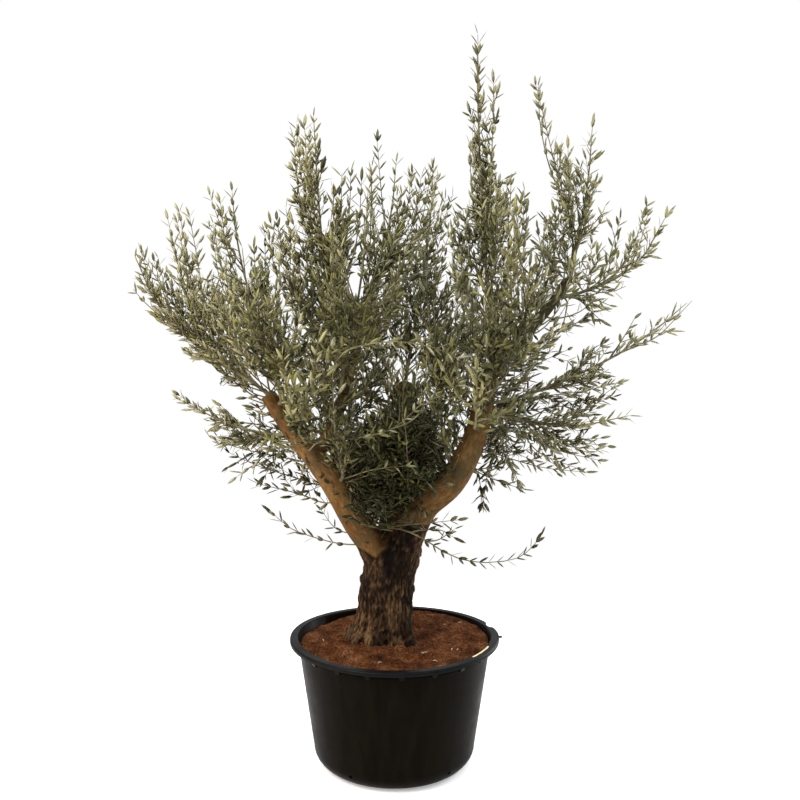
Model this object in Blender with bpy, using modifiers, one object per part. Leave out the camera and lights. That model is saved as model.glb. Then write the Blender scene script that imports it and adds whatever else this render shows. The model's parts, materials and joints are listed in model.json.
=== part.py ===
"""Potted olive tree: a black nursery pot, its soil, a short fluted trunk that forks low, sawn boughs and
open masses of narrow leaves.

The origin is the centre of the pot's flat underside, +Z is up and the front is -Y. All sizes are in metres.
An azimuth is measured from the front towards +X, in degrees.
"""

import math
import random
from collections import namedtuple

import bmesh
import bpy
import numpy as np
from mathutils import Matrix, Vector, noise
from mathutils.bvhtree import BVHTree

UP = Vector((0.0, 0.0, 1.0))
GAP = 0.0003
GOLDEN_ANGLE = math.pi * (3.0 - math.sqrt(5.0))
SHARP_ANGLE = math.radians(40.0)
WELD = 1e-5

# Pot
POT_HEIGHT = 0.468
POT_SIDES = 32
WALL = 0.005
WALL_BASE_RADIUS = 0.302
WALL_TOP_RADIUS = 0.361
CORNER_RADIUS = 0.068
LIP_RADIUS = 0.390
LIP_HEIGHT = 0.015
LIP_ROUNDING = 0.007
COLLAR_RADIUS = 0.368
COLLAR_DROP = 0.027
GUSSETS = 20
GUSSET_FIRST_AZIMUTH = 4.0
GUSSET_WIDTH = 0.020
GUSSET_RADIUS = 0.3845
GUSSET_DROP = 0.036
GUSSET_FOOT_DEPTH = 0.012
DRAIN_HOLES = 5
DRAIN_FIRST_AZIMUTH = -31.0
DRAIN_RADIUS = 0.007
DRAIN_SLOPE = math.radians(20.0)
DRAIN_SIDES = 12

# Soil
SOIL_SEAT = 0.466
SOIL_SEAT_RADIUS = 0.215
SOIL_EDGE = 0.449
SOIL_LUMP = 0.006
SOIL_LUMPS_PER_METRE = 14.0
SOIL_LUMPS_FROM_SEAT = 0.005
SOIL_LUMPS_FROM_WALL = 0.020

# Trunk: height above the soil, centre x, centre y, half width, half depth
TRUNK_SECTIONS = (
    (0.000, -0.043, -0.006, 0.109, 0.103),
    (0.018, -0.041, -0.005, 0.105, 0.100),
    (0.042, -0.037, -0.002, 0.102, 0.098),
    (0.084, -0.033, 0.000, 0.100, 0.096),
    (0.134, -0.030, 0.000, 0.101, 0.096),
    (0.189, -0.027, 0.000, 0.099, 0.094),
    (0.244, -0.022, 0.000, 0.097, 0.092),
    (0.294, -0.014, 0.000, 0.102, 0.094),
    (0.334, -0.010, 0.000, 0.108, 0.096),
    (0.369, -0.002, 0.002, 0.098, 0.086),
    (0.399, 0.002, 0.004, 0.064, 0.058),
)
TRUNK_SIDES = 24
FLUTES = 6
FLUTE_DEPTH = 0.034
FLUTE_TWIST = 5.0
FLARE_FADE = 0.042
# Root flare: azimuth, reach past the trunk, half width in degrees
FLARE_LOBES = (
    (-104.0, 0.054, 18.0),
    (-48.0, 0.040, 14.0),
    (-14.0, 0.008, 10.0),
    (46.0, 0.034, 15.0),
    (90.0, 0.010, 14.0),
    (128.0, 0.028, 17.0),
    (178.0, 0.030, 18.0),
    (-148.0, 0.026, 15.0),
)
# Knobs: azimuth, height above the soil, radius
KNOBS = ((-88.0, 0.222, 0.021), (84.0, 0.179, 0.014), (88.0, 0.326, 0.024), (-20.0, 0.134, 0.016))
KNOB_SUNK = 0.35

# Boughs that rise from the fork: route, radius at each point of the route, rings that belong to the trunk
Bough = namedtuple("Bough", "route radii stub_rings")
BOUGHS = {
    "bough_left": Bough(
        (
            (-0.028, -0.005, 0.740),
            (-0.082, -0.018, 0.822),
            (-0.149, -0.035, 0.918),
            (-0.241, -0.070, 1.092),
            (-0.363, -0.100, 1.252),
            (-0.450, -0.120, 1.383),
        ),
        (0.076, 0.066, 0.047, 0.046, 0.036, 0.028),
        6,
    ),
    "bough_right": Bough(
        (
            (0.008, -0.004, 0.760),
            (0.046, -0.010, 0.868),
            (0.106, -0.022, 0.972),
            (0.216, -0.045, 1.068),
            (0.300, -0.062, 1.240),
            (0.333, -0.070, 1.412),
        ),
        (0.080, 0.072, 0.062, 0.052, 0.042, 0.038),
        6,
    ),
    "bough_rear": Bough(
        (
            (-0.006, 0.015, 0.760),
            (0.000, 0.072, 0.880),
            (0.012, 0.158, 1.010),
            (0.030, 0.270, 1.190),
            (0.046, 0.352, 1.400),
        ),
        (0.074, 0.060, 0.047, 0.038, 0.029),
        6,
    ),
}
BOUGH_SIDES = 12
BOUGH_RINGS = 14
LOBE_DEPTHS = (0.05, 0.02)
LOBE_DRIFT = 0.4

# Side limbs: parent, place along it, tip, radius at each end, how steeply they arrive
Limb = namedtuple("Limb", "parent along tip base_radius tip_radius rise")
SIDE_LIMBS = {
    "limb_right_upper": Limb("bough_right", 1.00, (0.640, 0.040, 1.800), 0.034, 0.013, 0.30),
    "limb_centre": Limb("bough_left", 0.50, (-0.130, 0.020, 1.640), 0.029, 0.013, 0.75),
}
LIMB_SIDES = 8
LIMB_RINGS = 7

# Masses of foliage: limb that carries each, place along it, stem's tip, reach sideways, rise of its shoots
Mass = namedtuple("Mass", "limb along tip reach rise")
MASSES = {
    "foliage_left_low": Mass("bough_left", 0.70, (-0.790, -0.100, 1.375), 0.27, 0.15),
    "foliage_left_outer": Mass("bough_left", 1.00, (-0.936, -0.080, 1.900), 0.26, 0.45),
    "foliage_left_top": Mass("bough_left", 0.92, (-0.610, 0.100, 2.165), 0.27, 0.60),
    "foliage_left_front": Mass("bough_left", 0.90, (-0.480, -0.480, 1.900), 0.29, 0.50),
    "foliage_left_back": Mass("bough_rear", 0.84, (-0.700, 0.460, 1.800), 0.31, 0.45),
    "foliage_left_under": Mass("trunk", 0.90, (-0.450, -0.010, 0.930), 0.12, 0.20),
    "foliage_centre_left_top": Mass("limb_centre", 0.72, (-0.288, -0.060, 2.400), 0.26, 0.60),
    "foliage_centre_top": Mass("limb_centre", 1.00, (0.010, 0.120, 2.275), 0.26, 0.60),
    "foliage_centre_front": Mass("limb_centre", 0.52, (-0.080, -0.460, 2.080), 0.29, 0.55),
    "foliage_centre_low": Mass("bough_rear", 0.30, (0.010, -0.190, 1.320), 0.24, 0.35),
    "foliage_centre_left": Mass("bough_left", 0.30, (-0.200, -0.420, 1.500), 0.26, 0.45),
    "foliage_centre_right": Mass("bough_right", 0.45, (0.130, -0.330, 1.720), 0.27, 0.50),
    "foliage_front_left": Mass("bough_left", 0.58, (-0.330, -0.700, 1.560), 0.27, 0.35),
    "foliage_front_right": Mass("bough_right", 0.72, (0.240, -0.720, 1.540), 0.27, 0.35),
    "foliage_right_peak": Mass("limb_right_upper", 0.42, (0.292, -0.060, 2.640), 0.25, 0.70),
    "foliage_right_top": Mass("limb_right_upper", 1.00, (0.745, 0.120, 2.415), 0.27, 0.60),
    "foliage_right_outer": Mass("limb_right_upper", 0.88, (0.976, -0.100, 2.040), 0.25, 0.45),
    "foliage_right_far": Mass("bough_right", 0.90, (1.110, 0.040, 1.735), 0.23, 0.22),
    "foliage_right_low": Mass("bough_right", 0.82, (0.879, -0.080, 1.312), 0.27, 0.18),
    "foliage_right_front": Mass("bough_right", 0.93, (0.480, -0.480, 2.000), 0.29, 0.55),
    "foliage_fork_front": Mass("trunk", 0.95, (0.505, -0.200, 0.880), 0.13, 0.10),
    "foliage_back_left": Mass("bough_rear", 0.92, (-0.280, 0.700, 2.050), 0.31, 0.50),
    "foliage_back_right": Mass("bough_rear", 0.95, (0.540, 0.620, 2.020), 0.32, 0.50),
    "foliage_back_low": Mass("bough_rear", 0.72, (0.060, 0.850, 1.500), 0.31, 0.30),
    "foliage_back_top": Mass("bough_rear", 1.00, (0.160, 0.400, 2.300), 0.29, 0.60),
}

# Long shoots that stand out of their mass: place along its stem and tip
Shoot = namedtuple("Shoot", "along tip")
LONG_SHOOTS = {
    "foliage_left_low": (Shoot(0.40, (-0.760, 0.020, 1.208)), Shoot(0.30, (-0.600, -0.040, 1.060))),
    "foliage_left_outer": (Shoot(0.45, (-0.931, -0.160, 1.768)), Shoot(0.35, (-0.850, 0.060, 1.600))),
    "foliage_left_top": (Shoot(0.35, (-0.835, 0.160, 2.057)), Shoot(0.55, (-0.480, 0.060, 2.000))),
    "foliage_centre_left_top": (Shoot(0.45, (-0.372, 0.040, 2.354)), Shoot(0.55, (-0.180, -0.120, 2.230))),
    "foliage_centre_top": (Shoot(0.50, (-0.082, 0.020, 2.240)), Shoot(0.45, (0.135, 0.060, 2.185))),
    "foliage_right_peak": (Shoot(0.50, (0.346, -0.120, 2.500)), Shoot(0.55, (0.246, 0.020, 2.485))),
    "foliage_right_top": (Shoot(0.25, (0.526, 0.060, 2.538)), Shoot(0.45, (0.837, 0.160, 2.283))),
    "foliage_right_outer": (Shoot(0.55, (0.947, -0.020, 2.187)), Shoot(0.35, (0.973, -0.140, 1.833))),
    "foliage_right_far": (Shoot(0.40, (0.940, -0.040, 1.559)),),
    "foliage_right_low": (Shoot(0.50, (0.786, 0.000, 1.126)), Shoot(0.25, (0.480, -0.040, 1.000))),
}

# Furthest reach of the crown: lowest and highest corner
CROWN_LOW = (-0.955, -0.800, 0.820)
CROWN_HIGH = (1.115, 0.880, 2.665)

# Growth rule
SQUARE_START = 0.010
SQUARE_PULL = 0.07
ARRIVAL_PULL = 0.35
STEM_RADIUS = 0.0125
STEM_POINTS = 7
LONG_SHOOT_POINTS = 5
SHOOTS_PER_METRE_OF_REACH = 14
FIRST_SHOOT = 0.26
LAST_SHOOT = 0.93
SHOOT_RADIUS = 0.0070
SHOOT_POINTS = 4
SHOOT_LENGTH_LOW = 1.00
SHOOT_LENGTH_HIGH = 0.35
SHOOT_ANGLE_LOW = math.radians(64.0)
SHOOT_ANGLE_HIGH = math.radians(34.0)
SHOOT_TURN_SPREAD = 0.4
SHOOT_LENGTH_SPREAD = 0.15
TIP_RADIUS = 0.0040
SPACE_MARGIN = 0.007
LIMB_MARGIN = 0.010
LEAF_LENGTH = 0.180
LEAF_WIDTH = 0.048
LEAF_THICKNESS = 0.0080
LEAF_SINK = 0.002
TIP_LEAF_SINK = 0.007
LEAF_ANGLE = math.radians(38.0)
FIRST_PAIR = 0.86
PAIR_STEP = 0.32
PAIRS_ON_SKELETON = 2
PAIRS_ON_SHOOT = 1
TWIG_SIDES = 3
# Turns round a twig are counted from the side that faces this way, along which no twig grows
TURN_START = Vector((0.31, 0.95, 0.05))


def clear_scene():
    for obj in list(bpy.data.objects):
        bpy.data.objects.remove(obj)


def new_collection(name):
    collection = bpy.data.collections.new(name)
    bpy.context.scene.collection.children.link(collection)
    return collection


def new_material(name, colour, roughness):
    material = bpy.data.materials.new(name)
    material.use_nodes = True
    shader = material.node_tree.nodes["Principled BSDF"]
    shader.inputs["Base Color"].default_value = (*colour, 1.0)
    shader.inputs["Roughness"].default_value = roughness
    shader.inputs["Metallic"].default_value = 0.0
    return material


def new_object(name, mesh, collection, material=None):
    obj = bpy.data.objects.new(name, mesh)
    collection.objects.link(obj)
    if material:
        mesh.materials.clear()
        mesh.materials.append(material)
    return obj


def new_helper(name, mesh, collection):
    helper = new_object(name, mesh, collection)
    helper.hide_render = True
    helper.display_type = "WIRE"
    return helper


def smooth(mesh):
    mesh.shade_smooth()
    mesh.set_sharp_from_angle(angle=SHARP_ANGLE)


def evaluated_mesh(obj):
    """The object's mesh with its modifiers, or its curve's bevel, as a mesh of its own."""
    graph = bpy.context.evaluated_depsgraph_get()
    return bpy.data.meshes.new_from_object(obj.evaluated_get(graph))


def round_the_pot(radius, azimuth, height):
    angle = math.radians(azimuth)
    return Vector((radius * math.sin(angle), -radius * math.cos(angle), height))


def arc(centre, radius, start, end, steps):
    """Points of an arc in the profile's plane, from one angle to another in degrees."""
    points = []
    for step in range(steps + 1):
        angle = math.radians(start + (end - start) * step / steps)
        points.append((centre[0] + radius * math.cos(angle), centre[1] + radius * math.sin(angle)))
    return points


def turned(name, profile, collection, material):
    """A closed turned solid from a profile that starts and ends on the Z axis."""
    mesh = bpy.data.meshes.new(name)
    edges = [(i, i + 1) for i in range(len(profile) - 1)]
    mesh.from_pydata([(x, 0.0, z) for x, z in profile], edges, [])
    obj = new_object(name, mesh, collection, material)
    screw = obj.modifiers.new("turn", "SCREW")
    screw.steps = POT_SIDES
    screw.render_steps = POT_SIDES
    screw.use_merge_vertices = True
    screw.merge_threshold = 0.0001
    return obj


def inner_wall_radius(height):
    run = (height - CORNER_RADIUS) / (POT_HEIGHT - CORNER_RADIUS)
    return WALL_BASE_RADIUS + (WALL_TOP_RADIUS - WALL_BASE_RADIUS) * run - WALL


def pot_profile():
    corner = (WALL_BASE_RADIUS - CORNER_RADIUS, CORNER_RADIUS)
    lip = (LIP_RADIUS - LIP_ROUNDING, POT_HEIGHT - LIP_ROUNDING)
    lip_under = POT_HEIGHT - LIP_HEIGHT
    channel_top = POT_HEIGHT - WALL
    collar_under = POT_HEIGHT - COLLAR_DROP
    mouth = inner_wall_radius(POT_HEIGHT)
    return (
        [(0.0, WALL)]
        + arc(corner, CORNER_RADIUS - WALL, -90.0, 0.0, 2)
        + [(mouth, POT_HEIGHT - WALL), (mouth + WALL, POT_HEIGHT)]
        + arc(lip, LIP_ROUNDING, 90.0, 0.0, 2)
        + [(LIP_RADIUS, lip_under), (LIP_RADIUS - WALL, lip_under), (LIP_RADIUS - WALL, channel_top)]
        + [(COLLAR_RADIUS, channel_top), (COLLAR_RADIUS, collar_under)]
        + [(inner_wall_radius(collar_under) + WALL, collar_under)]
        + arc(corner, CORNER_RADIUS, 0.0, -90.0, 4)
        + [(0.0, 0.0)]
    )


def add_gusset(index, collection):
    """A web under the lip that tapers towards the wall as it goes down."""
    foot_radius = inner_wall_radius(POT_HEIGHT - GUSSET_DROP) + WALL / 2
    top = POT_HEIGHT - WALL / 2
    foot = POT_HEIGHT - GUSSET_DROP
    bm = bmesh.new()
    bmesh.ops.create_cube(bm, size=1.0)
    for vert in bm.verts:
        outer = GUSSET_RADIUS if vert.co.z > 0.0 else foot_radius + GUSSET_FOOT_DEPTH
        vert.co = Vector((
            vert.co.x * GUSSET_WIDTH,
            -(outer if vert.co.y < 0.0 else foot_radius),
            top if vert.co.z > 0.0 else foot,
        ))
    azimuth = GUSSET_FIRST_AZIMUTH + index * 360.0 / GUSSETS
    bmesh.ops.rotate(bm, verts=bm.verts, matrix=Matrix.Rotation(math.radians(azimuth), 3, "Z"))
    mesh = bpy.data.meshes.new(f"gusset_{index}")
    bm.to_mesh(mesh)
    bm.free()
    new_helper(mesh.name, mesh, collection)


def add_drain(index, collection):
    """A cutter through the rounded corner between wall and base."""
    bm = bmesh.new()
    bmesh.ops.create_cone(
        bm, cap_ends=True, segments=DRAIN_SIDES, radius1=DRAIN_RADIUS, radius2=DRAIN_RADIUS, depth=4 * WALL
    )
    mesh = bpy.data.meshes.new(f"drain_{index}")
    bm.to_mesh(mesh)
    bm.free()
    azimuth = DRAIN_FIRST_AZIMUTH + index * 360.0 / DRAIN_HOLES
    cutter = new_helper(mesh.name, mesh, collection)
    reach = WALL_BASE_RADIUS - CORNER_RADIUS + (CORNER_RADIUS - WALL / 2) * math.cos(DRAIN_SLOPE)
    height = CORNER_RADIUS - (CORNER_RADIUS - WALL / 2) * math.sin(DRAIN_SLOPE)
    cutter.location = round_the_pot(reach, azimuth, height)
    outward = round_the_pot(math.cos(DRAIN_SLOPE), azimuth, -math.sin(DRAIN_SLOPE))
    cutter.rotation_mode = "QUATERNION"
    cutter.rotation_quaternion = outward.to_track_quat("Z", "Y")


def add_pot(parts, material):
    pot = turned("pot", pot_profile(), parts, material)
    gussets = new_collection("pot_gussets")
    for index in range(GUSSETS):
        add_gusset(index, gussets)
    drains = new_collection("pot_drains")
    for index in range(DRAIN_HOLES):
        add_drain(index, drains)
    for name, operation, operands in (("gussets", "UNION", gussets), ("drains", "DIFFERENCE", drains)):
        boolean = pot.modifiers.new(name, "BOOLEAN")
        boolean.operation = operation
        boolean.operand_type = "COLLECTION"
        boolean.collection = operands


def soil_profile():
    corner = (WALL_BASE_RADIUS - CORNER_RADIUS, CORNER_RADIUS)
    edge_radius = inner_wall_radius(SOIL_EDGE) - 2 * GAP
    rings = 3
    top = [(0.0, SOIL_SEAT), (SOIL_SEAT_RADIUS, SOIL_SEAT)]
    for ring in range(1, rings + 1):
        run = ring / rings
        radius = SOIL_SEAT_RADIUS + (edge_radius - SOIL_SEAT_RADIUS) * run
        top.append((radius, SOIL_SEAT + (SOIL_EDGE - SOIL_SEAT) * run * run))
    return top + arc(corner, CORNER_RADIUS - WALL - 2 * GAP, 0.0, -90.0, 2) + [(0.0, WALL + 2 * GAP)]


def add_soil(parts, material):
    """The soil fills the pot. Its top is flat where the trunk stands and lumpy out to the wall."""
    blank = turned("soil_blank", soil_profile(), parts, material)
    mesh = evaluated_mesh(blank)
    bpy.data.objects.remove(blank)
    inner = SOIL_SEAT_RADIUS + SOIL_LUMPS_FROM_SEAT
    outer = inner_wall_radius(SOIL_EDGE) - SOIL_LUMPS_FROM_WALL
    for vert in mesh.vertices:
        on_top = vert.co.z > SOIL_EDGE - GAP
        if on_top and inner < math.hypot(vert.co.x, vert.co.y) < outer:
            vert.co.z += SOIL_LUMP * noise.noise(vert.co * SOIL_LUMPS_PER_METRE)
    mesh.name = "soil"
    new_object("soil", mesh, parts, material)


def loft(name, rings):
    """A closed mesh through rings of equal count, with a flat cap on each end."""
    bm = bmesh.new()
    rows = [[bm.verts.new(point) for point in ring] for ring in rings]
    for low, high in zip(rows, rows[1:]):
        for i, corner in enumerate(low):
            j = (i + 1) % len(low)
            bm.faces.new((corner, low[j], high[j], high[i]))
    bm.faces.new(list(reversed(rows[0])))
    bm.faces.new(rows[-1])
    bmesh.ops.recalc_face_normals(bm, faces=bm.faces)
    mesh = bpy.data.meshes.new(name)
    bm.to_mesh(mesh)
    bm.free()
    return mesh


def join_by_union(body, operands):
    """Joins a collection's objects to the body, applies the union and removes them."""
    union = body.modifiers.new("join", "BOOLEAN")
    union.operation = "UNION"
    union.solver = "MANIFOLD"
    union.operand_type = "COLLECTION"
    union.collection = operands
    joined = evaluated_mesh(body)
    body.modifiers.clear()
    body.data = joined
    for obj in list(operands.objects):
        bpy.data.objects.remove(obj)
    bpy.data.collections.remove(operands)


def keep_main_shell(mesh):
    """Leaves only the largest shell, which drops loose scraps and fills sealed hollows."""
    bm = bmesh.new()
    bm.from_mesh(mesh)
    waiting = set(bm.faces)
    shells = []
    while waiting:
        front = [waiting.pop()]
        shell = []
        while front:
            face = front.pop()
            shell.append(face)
            for edge in face.edges:
                for other in edge.link_faces:
                    if other in waiting:
                        waiting.discard(other)
                        front.append(other)
        shells.append(shell)
    shells.sort(key=len)
    dropped = [face for shell in shells[:-1] for face in shell]
    bmesh.ops.delete(bm, geom=dropped, context="FACES")
    loose = [vert for vert in bm.verts if not vert.link_faces]
    bmesh.ops.delete(bm, geom=loose, context="VERTS")
    bm.to_mesh(mesh)
    bm.free()


def flare(height, azimuth):
    """How far the root flare stands out of the trunk, which fades with height."""
    reach = 0.0
    for lobe_azimuth, lobe_reach, width in FLARE_LOBES:
        turn = (azimuth - lobe_azimuth + 180.0) % 360.0 - 180.0
        reach += lobe_reach * math.exp(-((turn / width) ** 2))
    return reach * math.exp(-height / FLARE_FADE)


def trunk_ring(section):
    height, x, y, half_width, half_depth = section
    ring = []
    for side in range(TRUNK_SIDES):
        azimuth = 360.0 * side / TRUNK_SIDES
        angle = math.radians(azimuth)
        flute = 1.0 + FLUTE_DEPTH * math.sin(FLUTES * angle + FLUTE_TWIST * height)
        stand = flare(height, azimuth)
        ring.append((
            x + (half_width * flute + stand) * math.sin(angle),
            y - (half_depth * flute + stand) * math.cos(angle),
            SOIL_SEAT + GAP + height,
        ))
    return ring


def spline(points, count):
    """Evenly counted samples of a Catmull-Rom curve through the points, which may be vectors or numbers."""
    points = [np.asarray(point, float) for point in points]
    padded = [2 * points[0] - points[1]] + points + [2 * points[-1] - points[-2]]
    samples = []
    for i in range(count):
        place = (len(points) - 1) * i / (count - 1)
        k = min(int(place), len(points) - 2)
        t = place - k
        a, b, c, d = padded[k:k + 4]
        square = (2 * a - 5 * b + 4 * c - d) * t ** 2
        cube = (3 * b - a - 3 * c + d) * t ** 3
        samples.append((2 * b + (c - a) * t + square + cube) / 2)
    return samples


def limb_rings(path, radii, sides, normal=None):
    """Slightly lobed rings square to the path. The first ring is square to normal where one is given."""
    rings = []
    across = Vector((0.0, 1.0, 0.0))
    for i, centre in enumerate(path):
        along = (path[min(i + 1, len(path) - 1)] - path[max(i - 1, 0)]).normalized()
        if i == 0 and normal is not None:
            along = normal
        across = (across - along * across.dot(along)).normalized()
        upward = along.cross(across)
        ring = []
        for side in range(sides):
            angle = math.tau * side / sides
            two_lobes = LOBE_DEPTHS[0] * math.sin(2 * angle + 1.0)
            three_lobes = LOBE_DEPTHS[1] * math.sin(3 * angle + LOBE_DRIFT * i)
            radius = radii[i] * (1.0 + two_lobes + three_lobes)
            ring.append(centre + across * radius * math.cos(angle) + upward * radius * math.sin(angle))
        rings.append(ring)
    return rings


def add_knob(azimuth, height, radius, collection):
    """A round swelling on the trunk, sunk by a share of its radius."""
    _, x, y, half_width, half_depth = min(TRUNK_SECTIONS, key=lambda section: abs(section[0] - height))
    angle = math.radians(azimuth)
    bm = bmesh.new()
    bmesh.ops.create_uvsphere(bm, u_segments=8, v_segments=5, radius=radius)
    centre = Vector((
        x + (half_width - radius * KNOB_SUNK) * math.sin(angle),
        y - (half_depth - radius * KNOB_SUNK) * math.cos(angle),
        SOIL_SEAT + height,
    ))
    bmesh.ops.translate(bm, verts=bm.verts, vec=centre)
    mesh = bpy.data.meshes.new("knob")
    bm.to_mesh(mesh)
    bm.free()
    new_object("knob", mesh, collection)


def add_trunk_and_boughs(parts, material, limbs):
    """The trunk holds each bough's first rings as a stub, and the bough starts just past the stub's face."""
    sections = [trunk_ring(section) for section in TRUNK_SECTIONS]
    body = new_object("trunk", loft("trunk", sections), parts, material)
    joined = new_collection("trunk_pieces")
    for name, bough in BOUGHS.items():
        path = [Vector(point) for point in spline(bough.route, BOUGH_RINGS)]
        radii = [float(radius) for radius in spline(bough.radii, BOUGH_RINGS)]
        rings = limb_rings(path, radii, BOUGH_SIDES)
        last = bough.stub_rings - 1
        new_object(f"stub_{name}", loft(f"stub_{name}", rings[:last + 1]), joined)
        shift = (path[last + 1] - path[last - 1]).normalized() * GAP
        rings[last] = [point + shift for point in rings[last]]
        mesh = loft(name, rings[last:])
        smooth(mesh)
        new_object(name, mesh, parts, material)
        limbs[name] = (path[last:], radii[last:], mesh)
    for azimuth, height, radius in KNOBS:
        add_knob(azimuth, height, radius, joined)
    join_by_union(body, joined)
    keep_main_shell(body.data)
    smooth(body.data)
    body.data.name = "trunk"
    path = [Vector((x, y, SOIL_SEAT + height)) for height, x, y, _, _ in TRUNK_SECTIONS]
    limbs["trunk"] = (path, [half_width for _, _, _, half_width, _ in TRUNK_SECTIONS], body.data)


def point_along(path, share):
    """The point at a share of a path's steps, and the direction of the path there."""
    place = share * (len(path) - 1)
    k = min(int(place), len(path) - 2)
    return path[k].lerp(path[k + 1], place - k), (path[k + 1] - path[k]).normalized()


def root_on(limb, along, tip):
    """Where a shoot leaves the limb for its tip, by the limb's end or side, and the face's normal there."""
    path, _, mesh = limb
    axis, forward = point_along(path, along)
    if along == 1.0:
        return axis, forward
    outward = tip - axis
    outward = (outward - forward * outward.dot(forward)).normalized()
    surface = BVHTree.FromPolygons([v.co for v in mesh.vertices], [p.vertices for p in mesh.polygons])
    point, normal, _, _ = surface.ray_cast(axis, outward)
    return point, normal if normal.dot(outward) > 0.0 else -normal


def bezier(handles, count):
    """Evenly counted points of a cubic curve."""
    points = []
    for i in range(count):
        t = i / (count - 1)
        weights = ((1 - t) ** 3, 3 * t * (1 - t) ** 2, 3 * t * t * (1 - t), t ** 3)
        points.append(sum((handle * weight for handle, weight in zip(handles, weights)), Vector()))
    return points


def leaf_root(start, tip, rise):
    """Where the last leaf of a shoot starts so that it ends at the tip, and the way that it points."""
    arrival = ((tip - start).normalized() * (1.0 - rise) + UP * rise).normalized()
    return tip - arrival * (LEAF_LENGTH - TIP_LEAF_SINK), arrival


def sprout(root, normal, tip, arrival, straight, count):
    """A path that leaves its limb squarely, a gap clear of it, and reaches its tip in a given direction."""
    start = root + normal * GAP
    square = start + normal * straight
    reach = (tip - square).length
    handles = (square, square + normal * reach * SQUARE_PULL, tip - arrival * reach * ARRIVAL_PULL, tip)
    return [start] + bezier(handles, count - 1)


def add_side_limbs(parts, material, limbs):
    for name, limb in SIDE_LIMBS.items():
        tip = Vector(limb.tip)
        root, normal = root_on(limbs[limb.parent], limb.along, tip)
        arrival = ((tip - root).normalized() * (1.0 - limb.rise) + UP * limb.rise).normalized()
        path = sprout(root, normal, tip, arrival, limb.base_radius, LIMB_RINGS)
        step = (limb.tip_radius - limb.base_radius) / (len(path) - 1)
        radii = [limb.base_radius + step * i for i in range(len(path))]
        mesh = loft(name, limb_rings(path, radii, LIMB_SIDES, normal))
        smooth(mesh)
        new_object(name, mesh, parts, material)
        limbs[name] = (path, radii, mesh)


def segment_distances(points, starts, ends):
    """Distance from every point to every segment."""
    runs = ends - starts
    lengths = np.maximum((runs ** 2).sum(1), 1e-12)
    offsets = points[:, None, :] - starts[None]
    along = np.clip((offsets * runs[None]).sum(2) / lengths, 0.0, 1.0)
    gaps = offsets - along[:, :, None] * runs[None]
    return np.sqrt((gaps ** 2).sum(2))


class Spaces:
    """The space of each mass: nearer to its own stem and long shoots than to others, clear of the limbs."""

    def __init__(self, skeletons, limbs):
        self.names = list(skeletons)
        lines = [(i, path) for i, paths in enumerate(skeletons.values()) for path in paths]
        self.starts = np.array([point for _, path in lines for point in path[:-1]])
        self.ends = np.array([point for _, path in lines for point in path[1:]])
        self.owner = np.array([i for i, path in lines for _ in path[1:]])
        routes = [(path, radii) for path, radii, _ in limbs.values()]
        self.limb_starts = np.array([point for path, _ in routes for point in path[:-1]])
        self.limb_ends = np.array([point for path, _ in routes for point in path[1:]])
        self.limb_radii = np.array([max(pair) for _, radii in routes for pair in zip(radii, radii[1:])])

    def holds(self, name, points, reach):
        points = np.array(points, float)
        distances = segment_distances(points, self.starts, self.ends)
        mine = self.owner == self.names.index(name)
        own = distances[:, mine].min(1)
        others = distances[:, ~mine].min(1)
        limb_distances = segment_distances(points, self.limb_starts, self.limb_ends)
        clearance = (limb_distances - self.limb_radii).min(1)
        in_crown = ((points >= CROWN_LOW) & (points <= CROWN_HIGH)).all()
        inside = (own + SPACE_MARGIN < others) & (clearance > LIMB_MARGIN) & (own < reach)
        return bool(in_crown and inside.all())


def turned_aside(along, turn, angle):
    """A direction at an angle to another one, turned round it."""
    side = along.cross(TURN_START).normalized()
    side = Matrix.Rotation(turn, 3, along) @ side
    return along * math.cos(angle) + side * math.sin(angle)


def long_shoot(shoot, stem, rise):
    start, along = point_along(stem, shoot.along)
    tip, arrival = leaf_root(start, Vector(shoot.tip), rise)
    reach = (tip - start).length
    handles = (start, start + along * reach * ARRIVAL_PULL, tip - arrival * reach * ARRIVAL_PULL, tip)
    return bezier(handles, LONG_SHOOT_POINTS)


def shoot_path(name, k, count, mass, stem):
    """Shoot k of a mass: a golden angle on from the last one, shorter and steeper towards the stem's tip."""
    rule = random.Random(f"{name} {k}")
    share = FIRST_SHOOT + (LAST_SHOOT - FIRST_SHOOT) * (k + 0.5) / count
    start, along = point_along(stem, share)
    angle = SHOOT_ANGLE_LOW + (SHOOT_ANGLE_HIGH - SHOOT_ANGLE_LOW) * share
    turn = k * GOLDEN_ANGLE + rule.uniform(-SHOOT_TURN_SPREAD, SHOOT_TURN_SPREAD)
    heading = turned_aside(along, turn, angle)
    length = mass.reach * (SHOOT_LENGTH_LOW + (SHOOT_LENGTH_HIGH - SHOOT_LENGTH_LOW) * share)
    length *= rule.uniform(1.0 - SHOOT_LENGTH_SPREAD, 1.0 + SHOOT_LENGTH_SPREAD)
    steps = [i / (SHOOT_POINTS - 1) for i in range(SHOOT_POINTS)]
    return [start + heading * length * t + UP * mass.rise * length * t * t for t in steps]


def cut_to_space(path, fits):
    """The stretch of a path from its start that stays in the space, or none."""
    kept = 1
    while kept < len(path) and fits([path[kept], path[kept - 1].lerp(path[kept], 0.5)]):
        kept += 1
    return path[:kept] if kept > 2 else None


def new_section(guides):
    """The three-sided outline of radius 1 that a twig carries along its path."""
    curve = bpy.data.curves.new("twig_section", "CURVE")
    curve.dimensions = "2D"
    outline = curve.splines.new("POLY")
    outline.points.add(TWIG_SIDES - 1)
    for i, point in enumerate(outline.points):
        angle = math.tau * i / TWIG_SIDES
        point.co = (math.cos(angle), math.sin(angle), 0.0, 1.0)
    outline.use_cyclic_u = True
    return new_helper("twig_section", curve, guides)


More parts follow.
